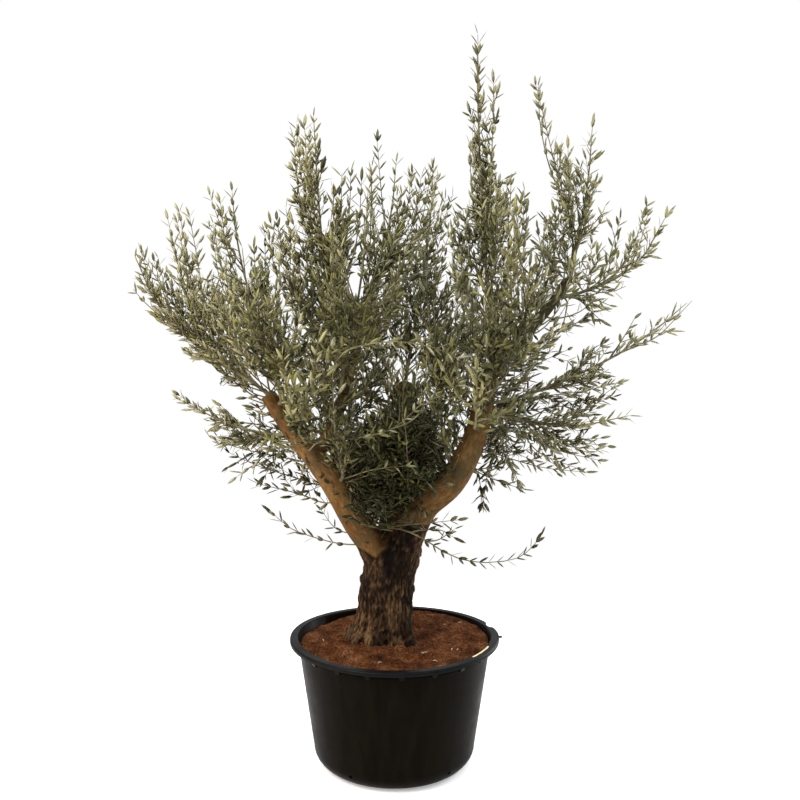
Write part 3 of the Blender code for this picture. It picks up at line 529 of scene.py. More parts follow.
# Plain colours of leaves, dealt out by spray: upper sides from painted shade to painted light and fresh
# growth, then the two undersides. Sprays below a height stand in the crown's shade and are painted darker.
LEAF_TOPS = {
    "leaf_deep": (0.034, 0.036, 0.01),
    "leaf_olive": (0.09, 0.09, 0.024),
    "leaf_green": (0.175, 0.168, 0.05),
    "leaf_light": (0.275, 0.258, 0.092),
    "leaf_fresh_and_lit": (0.37, 0.345, 0.15),
}
LEAF_UNDERS = {
    "leaf_dull": (0.102, 0.1, 0.04),
    "leaf_grey": (0.28, 0.266, 0.136),
    "leaf_silver": (0.48, 0.462, 0.29),
}
SHADED_BELOW = 1.15

# Bark
BARK_VOXEL = 0.0042
BARK_SMOOTHING = 6
FINE_LIMB_RINGS = 44
FINE_LIMB_SIDES = 24
FOOT_HEIGHT = 0.17
FOOT_SUNK = 0.02
FOOT_EDGE = 0.006
LIMB_BLEND = 0.012

# Height of the border between rough trunk bark and smooth bough bark, across the tree
BARK_BORDER_ACROSS = (-.16, -.11, -.07, -.026, -.008, .03, .14)
BARK_BORDER_HEIGHT = (.828, .815, .797, .832, .885, .92, .915)
BARK_BORDER_BLUR = 0.018
BARK_BORDER_RAGGED = 0.016

# Relief of rough and of smooth bark by broad swells, creases, cords, grain and a constant: lift, then tone
ROUGH_BARK = ((.004, .008, .0026, .0008, -.00144), (.35, .75, .4, .3, .33))
SMOOTH_BARK = ((.002, .001, .0005, .0003, .00178), (.42, .12, .16, .22, .4736))

# Swellings and hollows of the wood: place, how far each spreads and how far it lifts the bark
SWELLINGS = (
    ((.09, -.02, .74), .045, .008), ((.11, -.01, .791), .022, -.016), ((-.15, -.01, .8), .04, -.013),
    ((-.03, -.095, .8), .024, -.014), ((-.028, -.095, .76), .022, -.012), ((-.026, -.095, .725), .018, -.008),
    ((.036, -.09, .812), .02, .007), ((.06, -.08, .815), .02, .007), ((-.088, -.085, .69), .035, .007),
    ((.03, -.095, .65), .035, .006), ((-.12, .04, .62), .04, .008), ((.04, .09, .7), .045, .009),
)

# Toes of the trunk's foot: azimuth and half width in degrees, and reach
TOES = (
    (-82, 13, .02), (-60, 11, .01), (-38, 5.5, -.03), (-20, 9, .01), (8, 6, -.028), (30, 9, .006),
    (54, 13, .026), (84, 9, -.008), (110, 9, -.012), (152, 8, -.014), (-172, 8, -.012), (-126, 8, -.014),
)

# Pale ochre patches of the foot: place and spread
OCHRE_PATCHES = (
    ((-.18, -.06, .496), .036), ((-.15, -.085, .545), .024), ((-.095, -.105, .495), .018),
    ((-.07, -.105, .56), .016), ((.05, -.095, .812), .015),
)

# Painted shade in the hollows of the trunk's foot and below the fork: place and spread
PAINTED_SHADE_PATCHES = (
    ((-.073, -.12, .536), .022), ((-.012, -.12, .506), .028), ((-.136, -.09, .557), .02),
    ((-.028, -.06, .885), .042), ((-.03, -.078, .845), .036), ((-.026, -.09, .805), .028),
    ((-.024, -.095, .765), .022), ((-.024, -.095, .73), .018), ((.052, -.095, .515), .05),
)

# Strength of the dome of light at the horizon, overhead and under the floor, and of the floor's own glow
SKY = (0.3, 1.75)
UNDER_FLOOR = 0.22
FLOOR_RADIUS = 2.2
FLOOR_GLOW = 0.3
FLOOR_DROP = 0.001
WHITE = (1, 1, 1)


# Helpers


def rgba(colour):
    """A colour for a socket, from a colour, a grey or another socket."""
    if isinstance(colour, bpy.types.NodeSocket):
        return colour
    return (*colour, 1) if isinstance(colour, tuple) else (colour, colour, colour, 1)


def new_material(name, colour, roughness, gloss=0.5, more={}):
    material = bpy.data.materials.new(name)
    material.use_nodes = True
    inputs = material.node_tree.nodes["Principled BSDF"].inputs
    values = {"Base Color": rgba(colour), "Roughness": roughness, "Specular IOR Level": gloss, **more}
    for key, value in values.items():
        inputs[key].default_value = value
    return material


class Paint:
    """Nodes of a material or world, where an input may be a value or another node's output."""

    def __init__(self, owner, shader="Principled BSDF"):
        self.tree = owner.node_tree
        self.shader = self.tree.nodes[shader]

    def feed(self, socket, value):
        if isinstance(value, bpy.types.NodeSocket):
            self.tree.links.new(value, socket)
        else:
            socket.default_value = value

    def set(self, name, value):
        self.feed(self.shader.inputs[name], value)

    def node(self, kind, inputs={}, output=0, **settings):
        """The output of a new node with its settings and inputs."""
        node = self.tree.nodes.new(f"ShaderNode{kind}")
        for key, value in settings.items():
            setattr(node, key, value)
        for key, value in inputs.items():
            self.feed(node.inputs[key], value)
        return node.outputs[output]

    def ramp(self, factor, stops):
        """A colour ramp through stops that are given by their place."""
        colours = self.node("ValToRGB", {"Fac": factor})
        elements = colours.node.color_ramp.elements
        while len(elements) < len(stops):
            elements.new(0.5)
        for element, (place, colour) in zip(elements, stops.items()):
            element.position = place
            element.color = rgba(colour)
        return colours

    def steps(self, factor, low, high, start=0.0, end=1.0):
        """A value that goes from start to end while the factor goes from low to high."""
        limits = {"From Min": low, "From Max": high, "To Min": start, "To Max": end}
        return self.node("MapRange", {"Value": factor, **limits})

    def mixed(self, factor, a, b, blend="MIX"):
        """Colour a turned into colour b by factor."""
        return self.node("Mix", {0: factor, 6: rgba(a), 7: rgba(b)}, 2, data_type="RGBA", blend_type=blend)

    def place(self, x=1.0, y=1.0, z=1.0, vector=None):
        """Object coordinates or another vector, scaled by axis."""
        vector = vector or self.node("TexCoord", output="Object")
        return self.node("Mapping", {"Vector": vector, "Scale": (x, y, z)})

    def grain(self, vector, scale, detail=4.0, roughness=0.6):
        inputs = {"Vector": vector, "Scale": scale, "Detail": detail, "Roughness": roughness}
        return self.node("TexNoise", inputs)

    def attribute(self, name, output="Fac"):
        return self.node("Attribute", output=output, attribute_name=name)

    def bump(self, height, strength, distance):
        self.set("Normal", self.node("Bump", {"Height": height, "Strength": strength, "Distance": distance}))


def linked(name, data):
    obj = bpy.data.objects.new(name, data)
    bpy.context.scene.collection.objects.link(obj)
    return obj


def new_piece(name, mesh, material_slot, *nodes):
    """A piece of the visible model that rides with the body and stands for CAD nodes."""
    piece = linked(name, mesh)
    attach(piece, BODY)
    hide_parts(*nodes)


def add_materials(mesh, *materials):
    for material in materials:
        mesh.materials.append(material)


def mesh_from_arrays(name, points, faces, slots=None):
    """A mesh from an array of points and an array of faces of equal count, with each face's material slot."""
    faces = np.asarray(faces, np.int32)
    mesh = bpy.data.meshes.new(name)
    mesh.vertices.add(len(points))
    mesh.vertices.foreach_set("co", np.asarray(points, np.float32).ravel())
    mesh.loops.add(faces.size)
    mesh.loops.foreach_set("vertex_index", faces.ravel())
    mesh.polygons.add(len(faces))
    mesh.polygons.foreach_set("loop_start", np.arange(0, faces.size, faces.shape[1], dtype=np.int32))
    if slots is not None:
        mesh.polygons.foreach_set("material_index", np.asarray(slots, np.int32))
    mesh.update(calc_edges=True)
    return mesh


def mesh_of(bm, name):
    mesh = bpy.data.meshes.new(name)
    bm.to_mesh(mesh)
    bm.free()
    return mesh


def vectors_of(mesh, key):
    """An array of a vector that each vertex has."""
    values = np.empty(len(mesh.vertices) * 3, np.float32)
    mesh.vertices.foreach_get(key, values)
    return values.reshape(-1, 3).astype(float)


def add_attribute(mesh, name, values, kind="FLOAT", key="value"):
    data = mesh.attributes.new(name, kind, "POINT").data
    data.foreach_set(key, values.astype(np.float32).ravel())


def modify(obj, kind, **settings):
    modifier = obj.modifiers.new(kind, kind)
    for key, value in settings.items():
        setattr(modifier, key, value)


def baked(obj):
    """The object's mesh with its modifiers, after which the object is removed."""
    graph = bpy.context.evaluated_depsgraph_get()
    mesh = bpy.data.meshes.new_from_object(obj.evaluated_get(graph))
    mesh.materials.clear()
    bpy.data.objects.remove(obj)
    return mesh


def between(pair, share):
    return pair[0] + (pair[1] - pair[0]) * share


def round_the_pot(radius, azimuth, height):
    angle = math.radians(azimuth)
    return Vector((radius * math.sin(angle), -radius * math.cos(angle), height))


def turns(sides):
    return [math.tau * side / sides for side in range(sides)]


# Paths


def spline(points, count):
    """Evenly counted samples of a Catmull-Rom curve through the points, which may be vectors or numbers."""
    points = [np.asarray(point, float) for point in points]
    padded = [2 * points[0] - points[1]] + points + [2 * points[-1] - points[-2]]
    samples = []
    for i in range(count):
        place = (len(points) - 1) * i / (count - 1)
        k = min(int(place), len(points) - 2)
        t = place - k
        a, b, c, d = padded[k:k + 4]
        square = (2 * a - 5 * b + 4 * c - d) * t ** 2
        cube = (3 * b - a - 3 * c + d) * t ** 3
        samples.append((2 * b + (c - a) * t + square + cube) / 2)
    return samples


def smooth_path(points, count):
    return [Vector(point) for point in spline(points, count)]


def smooth_line(path, radii, count):
    """A path and its radii, both in finer steps."""
    return smooth_path(path, count), [float(radius) for radius in spline(radii, count)]


def bezier(handles, count):
    """Evenly counted points of a cubic curve."""
    points = []
    for i in range(count):
        t = i / (count - 1)
        weights = ((1 - t) ** 3, 3 * t * (1 - t) ** 2, 3 * t * t * (1 - t), t ** 3)
        points.append(sum((handle * weight for handle, weight in zip(handles, weights)), Vector()))
    return points


def bent(start, heading, tip, arrival, count, pull=ARRIVAL_PULL):
    """A curve that leaves its start and reaches its tip in given directions."""
    reach = (tip - start).length
    return bezier((start, start + heading * reach * pull, tip - arrival * reach * ARRIVAL_PULL, tip), count)


def ray(start, way, lift, count, end=1):
    """A path along one vector that another one bends upwards."""
    places = [end * i / (count - 1) for i in range(count)]
    return [start + way * t + lift * t * t for t in places]


def point_along(path, share):
    """The point at a share of a path's steps, and the direction of the path there."""
    place = share * (len(path) - 1)
    k = min(int(place), len(path) - 2)
    return path[k].lerp(path[k + 1], place - k), (path[k + 1] - path[k]).normalized()


def path_length(path):
    return sum((b - a).length for a, b in zip(path, path[1:]))


def at_length(path, distance):
    """The point at a distance along the path, and the direction of the path there."""
    for a, b in zip(path, path[1:]):
        step = (b - a).length
        if distance <= step:
            return a.lerp(b, distance / step), (b - a) / step
        distance -= step
    return path[-1], (path[-1] - path[-2]).normalized()


def turned_aside(along, turn, angle):
    """A direction at an angle to another one, turned round it."""
    side = Matrix.Rotation(turn, 3, along) @ along.cross(TURN_START).normalized()
    return along * math.cos(angle) + side * math.sin(angle)


def square_frames(path, across):
    """Each point of a path with two directions square to the path there."""
    for i, centre in enumerate(path):
        along = (path[min(i + 1, len(path) - 1)] - path[max(i - 1, 0)]).normalized()
        across = (across - along * across.dot(along)).normalized()
        yield centre, across, along.cross(across)


def segments(paths):
    """Starts and ends of all steps of the paths."""
    starts = np.array([point for path in paths for point in path[:-1]])
    return starts, np.array([point for path in paths for point in path[1:]])


def closest(points, starts, ends):
    """For every point and segment: share along the segment, offset from it and distance."""
    runs = ends - starts
    offsets = points[:, None, :] - starts[None]
    along = np.clip((offsets * runs[None]).sum(2) / np.maximum((runs ** 2).sum(1), 1e-12), 0.0, 1.0)
    gaps = offsets - along[:, :, None] * runs[None]
    return along, gaps, np.sqrt((gaps ** 2).sum(2))


def rooted(route, lines):
    """A route whose start is led to the nearest point of the lines that may carry it."""
    points = [Vector(point) for point in route]
    starts, ends = segments(lines)
    along, _, distances = closest(np.array(points[:1]), starts, ends)
    nearest = distances[0].argmin()
    root = Vector(starts[nearest] + along[0, nearest] * (ends - starts)[nearest])
    return points if (root - points[0]).length < ROOT_SLACK else [root] + points


# Growth rule shared with the solids


def arrival_at(start, tip, rise):
    """The way a limb or stem points at its tip, which it turns upwards."""
    return ((tip - start).normalized() * (1 - rise) + UP * rise).normalized()


def leaf_root(start, tip, rise):
    """Where the solids' last leaf starts so that it ends at the tip, and the way that it points."""
    arrival = arrival_at(start, tip, rise)
    return tip - arrival * (SOLID_LEAF_LENGTH - SOLID_TIP_LEAF_SINK), arrival


def root_on(limbs, limb, along, tip):
    """Where a shoot leaves the limb for its tip, by the limb's end or side, and the face's normal there."""
    axis, forward = point_along(limbs[limb][0], along)
    if along == 1:
        return axis, forward
    outward = tip - axis
    outward = (outward - forward * outward.dot(forward)).normalized()
    mesh = frame["nodes"][limb].data
    surface = BVHTree.FromPolygons([v.co for v in mesh.vertices], [p.vertices for p in mesh.polygons])
    point, normal, _, _ = surface.ray_cast(axis, outward)
    return point, normal if normal.dot(outward) > 0 else -normal


def sprout(root, normal, tip, arrival, straight, count):
    """A path that leaves its limb squarely, a gap clear of it, and reaches its tip in a given direction."""
    start = root + normal * GAP
    return [start] + bent(start + normal * straight, normal, tip, arrival, count - 1, SQUARE_PULL)


def limbs_of_frame():
    """Path and radii of the boughs, the trunk and the side limbs, as the solids have them."""
    limbs = {}
    for name, bough in BOUGHS.items():
        path, radii = smooth_line(*bough, BOUGH_RINGS)
        limbs[name] = (path[STUB_RINGS - 1:], radii[STUB_RINGS - 1:])
    path = [Vector((x, y, SOIL_SEAT + height)) for height, x, y, _, _ in TRUNK_SECTIONS]
    limbs["trunk"] = (path, [section[3] for section in TRUNK_SECTIONS])
    for name, limb in SIDE_LIMBS.items():
        tip = Vector(limb.tip)
        root, normal = root_on(limbs, limb.parent, limb.along, tip)
        path = sprout(root, normal, tip, arrival_at(root, tip, limb.rise), limb.base_radius, LIMB_RINGS)
        step = (limb.tip_radius - limb.base_radius) / (len(path) - 1)
        limbs[name] = (path, [limb.base_radius + step * i for i in range(len(path))])
    return limbs


def long_shoot(shoot, stem, rise):
    place, tip = shoot
    start, along = point_along(stem, place)
    tip, arrival = leaf_root(start, Vector(tip), rise)
    return bent(start, along, tip, arrival, LONG_SHOOT_POINTS)


def skeleton_of(name, limbs):
    """The stem of a mass and its long shoots, as the solids have them."""
    mass = MASSES[name]
    root, normal = root_on(limbs, mass.limb, mass.along, Vector(mass.tip))
    tip, arrival = leaf_root(root, Vector(mass.tip), mass.rise)
    stem = sprout(root, normal, tip, arrival, SQUARE_START, STEM_POINTS)
    return [stem] + [long_shoot(shoot, stem, mass.rise) for shoot in LONG_SHOOTS.get(name, ())]


def shoot_path(name, k, count, mass, stem):
    """Shoot k of a mass: a golden angle on from the last one, shorter and steeper towards the stem's tip."""
    rule = random.Random(f"foliage_{name} {k}")
    share = between(SHOOT_PLACES, (k + 0.5) / count)
    start, along = point_along(stem, share)
    turn = k * GOLDEN_ANGLE + rule.uniform(-SHOOT_TURN_SPREAD, SHOOT_TURN_SPREAD)
    heading = turned_aside(along, turn, between(SHOOT_ANGLES, share))
    length = mass.reach * between(SHOOT_LENGTHS, share) * rule.uniform(*SHOOT_LENGTH_SPREAD)
    return ray(start, heading * length, UP * mass.rise * length, SHOOT_SAMPLES, 1 + SHOOT_RUN_ON / length)


def fill_shoot_path(name, k, count, mass, stem):
    """Longer, more upright shoots that fill the mass between the first ones."""
    rule = random.Random(f"foliage_{name} fill {k}")
    share = between(FILL_PLACES, ((k + 0.5) / count) ** FILL_CROWDING)
    start, along = point_along(stem, share)
    turn = k * GOLDEN_ANGLE + rule.uniform(-FILL_TURN_SPREAD, FILL_TURN_SPREAD)
    heading = turned_aside(along, turn, between(FILL_ANGLES, share) * rule.uniform(*FILL_ANGLE_SPREAD))
    length = between(FILL_LENGTHS, share) * rule.uniform(*FILL_LENGTH_SPREAD)
    return ray(start, heading * length, UP * mass.rise * length * FILL_LIFT, SHOOT_SAMPLES)


# Space of each mass


# A stem or a shoot, and how far twigs may stand off it at its tip
Line = namedtuple("Line", "path spread")


def plume_radius(line, from_tip):
    """How far twigs may stand off a line at a distance from its tip: a slim plume that widens inwards."""
    return line.spread + PLUME_SPREAD * from_tip + CORE_SPREAD * max(0, from_tip - PLUME_LENGTH)


def in_sky_gap(points):
    """Whether the camera sees each point in one of the openings."""
    ahead, raised = points[:, 1] + CAMERA_DISTANCE, points[:, 2] - CAMERA_HEIGHT
    depth = ahead * math.cos(CAMERA_PITCH) - raised * math.sin(CAMERA_PITCH)
    lifted = ahead * math.sin(CAMERA_PITCH) + raised * math.cos(CAMERA_PITCH)
    columns = AXIS_COLUMN + LENS_IN_PIXELS * points[:, 0] / depth
    rows = FRAME_PIXELS / 2 - LENS_IN_PIXELS * lifted / depth
    inside = np.zeros(len(points), bool)
    for gap in SKY_GAPS:
        turn = math.radians(gap.tilt)
        right, up = columns - gap.column, gap.row - rows
        along = right * math.cos(turn) + up * math.sin(turn)
        across = up * math.cos(turn) - right * math.sin(turn)
        held = (along / gap.half_length) ** 2 + (across / gap.half_width) ** 2 < 1
        inside |= held & (points[:, 1] < gap.nearer_than)
    return inside


def clear_of_gaps(path):
    """A path up to the first opening on its way."""
    inside = in_sky_gap(np.array(path))
    inside[:3] = False
    return path[:inside.argmax()] if inside.any() else path


class Spaces:
    """The space of each mass: nearer to its own stem and long shoots than to others, clear of the limbs."""

    def __init__(self, skeletons, limbs):
        lines = [(name, line) for name, lines in skeletons.items() for line in lines]
        self.steps = segments([line.path for _, line in lines])
        self.owner = np.array([name for name, line in lines for _ in line.path[1:]])
        self.spread = np.array([
            min(WIDEST.get(name, MASSES[name].reach), plume_radius(line, path_length(line.path[k:])))
            for name, line in lines for k in range(len(line.path) - 1)
        ])
        self.limb_steps = segments([path for path, _ in limbs.values()])
        self.limb_radii = np.array([
            max(pair) for _, radii in limbs.values() for pair in zip(radii, radii[1:])
        ])

    def holding(self, name, points, extra):
        """For each point, whether the mass's space holds it; that narrows towards its skeleton's tips."""
        points = np.array(points, float)
        distances = closest(points, *self.steps)[2]
        mine = self.owner == name
        extra = np.broadcast_to(extra, len(points))
        nearest = distances[:, mine].argmin(1)
        lowest = np.minimum(*self.steps)[mine][nearest, 2]
        limb_gaps = closest(points, *self.limb_steps)[2] - self.limb_radii
        low, high = np.array(CAD_BOX[0]) - BOX_MARGIN, np.array(CAD_BOX[1]) + BOX_MARGIN
        return (
            ((points >= low) & (points <= high)).all(1)
            & (distances[:, mine].min(1) + FINE_MARGIN < distances[:, ~mine].min(1))
            & (distances[:, mine] < self.spread[mine] + extra[:, None]).any(1)
            & (points[:, 2] > lowest - DROOP)
            & (limb_gaps.min(1) > LIMB_MARGIN)
            & ~in_sky_gap(points)
        )


# Fine twigs and leaves


class Tubes:
    """Closed tubes gathered into one mesh of triangles."""

    def __init__(self):
        self.points = []
        self.faces = []

    def add_rings(self, rings):
        """A skin through rings of points, closed at both ends."""
        sides = len(rings[0])
        first = len(self.points)
        last = first + (len(rings) - 1) * sides
        self.points += [point for ring in rings for point in ring]
        for low in range(first, last, sides):
            for side in range(sides):
                beside = (side + 1) % sides
                self.faces.append((low + side, low + beside, low + sides + beside))
                self.faces.append((low + side, low + sides + beside, low + sides + side))
        for side in range(1, sides - 1):
            self.faces.append((first, first + side + 1, first + side))
            self.faces.append((last, last + side, last + side + 1))

    def add(self, path, root_radius, sides):
        rings = []
        for i, (centre, across, other) in enumerate(square_frames(path, TURN_START)):
            radius = root_radius + (TIP_RADIUS - root_radius) * i / (len(path) - 1)
            rings.append([
                centre + (across * math.cos(turn) + other * math.sin(turn)) * radius for turn in turns(sides)
            ])
        self.add_rings(rings)

    def mesh(self, name):
        return mesh_from_arrays(name, self.points, self.faces)


class Leaves:
    """Leaves gathered into one mesh, each a closed shape of twelve triangles with a ridge on top."""

    # Place along the leaf, place across it and height, each as a share of length, half width and ridge
    SHAPE = np.array((
        (0, 0, 0), (0.3, -0.92, 0), (0.3, 0, 1), (0.3, 0.92, 0),
        (0.68, -0.88, 0), (0.68, 0, 1), (0.68, 0.88, 0), (1, 0, 0),
    ))
    UPPER = ((0, 2, 1), (0, 3, 2), (1, 5, 4), (1, 2, 5), (2, 6, 5), (2, 3, 6), (4, 5, 7), (5, 6, 7))
    LOWER = ((0, 1, 3), (1, 6, 3), (1, 4, 6), (4, 7, 6))

    def __init__(self):
        self.rows = []

    def add(self, root, direction, normal, length, width, look):
        self.rows.append((*root, *direction, *normal, length, width, *look))

    def keep(self, held):
        self.rows = [row for row, kept in zip(self.rows, held) if kept]

    def tips(self):
        rows = np.array(self.rows)
        return rows[:, 0:3] + rows[:, 3:6] * rows[:, 9:10]

    def mesh(self, name):
        rows = np.array(self.rows)
        root, direction, normal = (rows[:, None, i:i + 3] for i in (0, 3, 6))
        length, width = rows[:, 9, None, None], rows[:, 10, None, None]
        place, side, height = (self.SHAPE[None, :, i, None] for i in range(3))
        points = root + direction * place * length + np.cross(direction, normal) * side * width / 2
        points = points + normal * (height * LEAF_RIDGE - LEAF_BEND * length * place ** 2)
        first = np.arange(len(rows)) * len(self.SHAPE)
        faces = first[:, None, None] + np.array(self.UPPER + self.LOWER)[None]
        slots = np.repeat(rows[:, 11:], (len(self.UPPER), len(self.LOWER)), 1)
        return mesh_from_arrays(name, points.reshape(-1, 3), faces.reshape(-1, 3), slots.ravel())


def look_of_spray(rule, middle):
    """The pair of plain colours of a spray: fresher and paler with painted light high up and far out, darker
    with painted shade inside the crown and low down.
    """
    outward = math.hypot(middle.x - 0.08, middle.y)
    # Painted light and shade: height and outwardness lift a spray towards the lit colours, a place low in the
    # crown sinks it towards the shaded and dull ones.
    freshness_and_light = 0.5 * outward + 0.55 * (middle.z - 1.1) / 1.7 + rule.uniform(-0.4, 0.44)
    freshness_and_light -= 1.2 * max(0, SHADED_BELOW - middle.z)
    paleness = freshness_and_light * 1.2 + rule.uniform(0, 0.45)

    def pick(share, colours):
        return min(max(int(share * len(colours)), 0), len(colours) - 1)

    return pick(freshness_and_light, LEAF_TOPS), len(LEAF_TOPS) + pick(paleness, LEAF_UNDERS)


def add_leaves_along(path, leafy_from, seed, leaves):
    """Opposite pairs, each a quarter turn on from the last, and one leaf at the tip."""
    rule = random.Random(seed)
    length = path_length(path)
    look = look_of_spray(rule, path[-1])
    size = rule.uniform(0.85, 1.1)
    start = rule.uniform(0, math.tau)
    place = length * leafy_from + rule.uniform(0.4, 1) * LEAF_STEP
    pair = 0

    def add_leaf(root, along, turn, angle):
        direction = turned_aside(along, turn, angle)
        normal = along * math.sin(angle) - turned_aside(along, turn, math.pi / 2) * math.cos(angle)
        normal = Matrix.Rotation(rule.uniform(-LEAF_ROLL, LEAF_ROLL), 3, direction) @ normal
        leaf_length = rule.uniform(*LEAF_LENGTHS) * size
        leaves.add(root, direction, normal, leaf_length, rule.uniform(*LEAF_WIDTHS) * size, look)

    while place < length:
        root, along = at_length(path, place)
        for half in range(2):
            turn = start + (pair + 2 * half) * math.pi / 2 + rule.uniform(-0.35, 0.35)
            add_leaf(root, along, turn, rule.uniform(*LEAF_ANGLES) * (1 - 0.35 * place / length))
        pair += 1
        place += LEAF_STEP * rule.uniform(0.8, 1.2)
    add_leaf(*at_length(path, length), start, math.radians(rule.uniform(4, 14)))


def twig_paths(seed, kind, parent, rise):
    """Twigs along a parent path, a golden angle on from each other, shorter towards its tip."""
    rule = random.Random(seed)
    length = path_length(parent)
    paths = []
    place = length * kind.first_share + kind.first_place + rule.uniform(0, TWIG_STEP)
    turn = rule.uniform(0, math.tau)
    while place < length * kind.twigs_up_to:
        start, along = at_length(parent, place)
        heading = turned_aside(along, turn, rule.uniform(*TWIG_ANGLES))
        run = between(TWIG_LENGTHS, place / length) * rule.uniform(0.55, 1.25)
        paths.append(ray(start, heading * run, UP * (rise * TWIG_RISE * run), TWIG_SAMPLES))
        turn += GOLDEN_ANGLE + rule.uniform(-0.3, 0.3)
        place += TWIG_STEP * rule.uniform(0.75, 1.3)
    return paths


def limb_shoots(name, path, clothing):
    """Short shoots from inside a limb, which turn upwards and leave its front side bare on a bough."""
    rule = random.Random(name)
    shoots = []
    for k in range(clothing.count):
        share = clothing.first + (1 - clothing.first) * (k + 0.5) / clothing.count
        root, along = point_along(path, share)
        heading = turned_aside(along, k * GOLDEN_ANGLE, math.radians(rule.uniform(40, 75)))
        length = rule.uniform(*clothing.lengths)
        if name in BOUGHS and heading.y < BARE_TOWARDS_FRONT:
            continue
        tip = root + (heading + UP * clothing.lift).normalized() * length
        handles = (root, root + heading * length * 0.4, tip - UP * length * 0.3 * clothing.lift, tip)
        shoots.append(bezier(handles, SHOOT_SAMPLES))
    return shoots


def fork_shoots():
    """Short shoots from the upper sides of the boughs into the fork between them."""
    rule = random.Random("fork")
    routes = [smooth_path(route, STEM_SAMPLES) for route, _ in BOUGHS.values()]
    paths = []
    for k in range(FORK_SHOOTS):
        root, _ = point_along(routes[k % len(routes)], rule.uniform(*FORK_ROOTS))
        height = root.z + rule.uniform(*FORK_RISES)
        half_width = FORK_HALF_WIDTH + FORK_OPENING * (height - FORK_CROTCH)
        across = FORK_MIDDLE + rule.uniform(-half_width, half_width)
        tip = Vector((across, rule.uniform(*FORK_DEPTHS), height))
        handles = (root, root.lerp(tip, 0.4), tip - UP * 0.4 * (height - root.z), tip)
        paths.append(bezier(handles, SHOOT_SAMPLES))
    return paths


def run_on(path, tip):
    """A path of the solids, carried on to just short of its tip, where the last leaf ends."""
    direction = (tip - path[-1]).normalized()
    return path + [path[-1].lerp(tip, 0.5), tip - direction * TIP_SHORT]


def fine_skeleton(name, skeleton, limbs):
    """The stem and the long shoots carried on to their tips, finer shoots and the fork's own, as lines."""
    mass = MASSES[name]
    finer = FINE_SHOOTS.get(name, ())
    tips = [mass.tip] + [tip for _, tip in LONG_SHOOTS.get(name, ()) + finer]
    paths = skeleton + [long_shoot(shoot, skeleton[0], mass.rise) for shoot in finer]
    routes = [run_on(path, Vector(tip)) for path, tip in zip(paths, tips)]
    carriers = [path for path, _ in limbs.values()] + skeleton
    routes += [rooted(route, carriers) for route in LEADERS.get(name, ())]
    paths = [smooth_path(routes[0], STEM_SAMPLES)]
    paths += [smooth_path(route, LONG_SHOOT_SAMPLES) for route in routes[1:]]
    lines = [Line(path, PLUME_TIP) for path in paths]
    if name == FORK_MASS:
        lines += [Line(path, FORK_SPREAD) for path in fork_shoots()]
    lines[1:] = [Line(clear_of_gaps(line.path), line.spread) for line in lines[1:]]
    for limb, clothing in LIMB_CLOTHING.items():
        if name == clothing.mass:
            lines += [Line(path, CLOTHING_SPREAD) for path in limb_shoots(limb, limbs[limb][0], clothing)]
    return lines


def cut_to_space(paths, held):
    """The stretch of each path from its start that stays in the space, where it is long enough."""
    cut = []
    for path in paths:
        kept = 1
        while kept < len(path) and held[kept]:
            kept += 1
        if kept > 2:
            cut.append(path[:kept])
        held = held[len(path):]
    return cut


def grow_mass(name, solid_stem, skeleton, spaces, limbs):
    """Stem, shoots, twigs and leaves of a mass, as a mesh of wood and a mesh of leaves."""
    mass, seed = MASSES[name], f"foliage_{name}"
    wood, leaves = Tubes(), Leaves()
    carriers = [path for path, _ in limbs.values()]

    def hold(paths, extras):
        extras = [extra for path, extra in zip(paths, extras) for _ in path]
        return cut_to_space(paths, spaces.holding(name, [point for path in paths for point in path], extras))

    def dress(kind, path, leaf_seed, sunk=()):
        wood.add([*sunk, *path], KINDS[kind].radius, KINDS[kind].sides)
        add_leaves_along(path, KINDS[kind].leafy_from, leaf_seed, leaves)

    if name not in SPRIGS_ALONE:
        stem, *longs = [line.path for line in skeleton]
        count = round(SHOOTS_PER_METRE_OF_REACH * mass.reach)
        fill = round(FILL_SHOOTS_PER_METRE_OF_REACH * mass.reach * FULLNESS.get(name, 1))
        shoots = [shoot_path(name, k, count, mass, solid_stem) for k in range(count)]
        shoots += [fill_shoot_path(name, k, fill, mass, solid_stem) for k in range(fill)]
        rule = random.Random(f"{seed} shoot reach")
        shoots = hold(shoots, [SHOOT_REACH * rule.random() ** 2 for _ in shoots])
        sunk = stem[0] + (stem[0] - stem[1]).normalized() * STEM_SUNK
        dress("stem", stem, f"{seed} stem leaves", [sunk])
        twigs = twig_paths(f"{seed} stem", KINDS["stem"], stem, mass.rise)
        for kind, paths in (("long", longs), ("shoot", shoots)):
            for k, path in enumerate(paths):
                dress(kind, path, f"{seed} {kind} {k} leaves")
                twigs += twig_paths(f"{seed} {kind} {k}", KINDS[kind], path, mass.rise)
        for k, path in enumerate(hold(twigs, [0] * len(twigs))):
            dress("twig", path, f"{seed} twig {k} leaves")
        leaves.keep(spaces.holding(name, leaves.tips(), LEAF_REACH))
        carriers += [line.path for line in skeleton]
    for k, route in enumerate(SPRIGS.get(name, ())):
        carriers.append(smooth_path(rooted(route, carriers), LONG_SHOOT_SAMPLES))
        dress("sprig", carriers[-1], f"{seed} sprig {k}")
    return wood.mesh(f"twigs_{name}"), leaves.mesh(f"leaves_{name}")


def twig_material():
    """Grey-beige bark of the shoots, greener where the noise is high."""
    material = new_material("twig_bark", (0.16, 0.13, 0.08), 0.75, 0.2)
    paint = Paint(material)
    colours = {0.35: (0.08, 0.068, 0.034), 0.5: (0.18, 0.16, 0.085), 0.64: (0.26, 0.245, 0.125)}
    paint.set("Base Color", paint.ramp(paint.grain(paint.place(), 18), colours))
    paint.bump(paint.grain(paint.place(), 300), 0.4, 0.001)
    return material


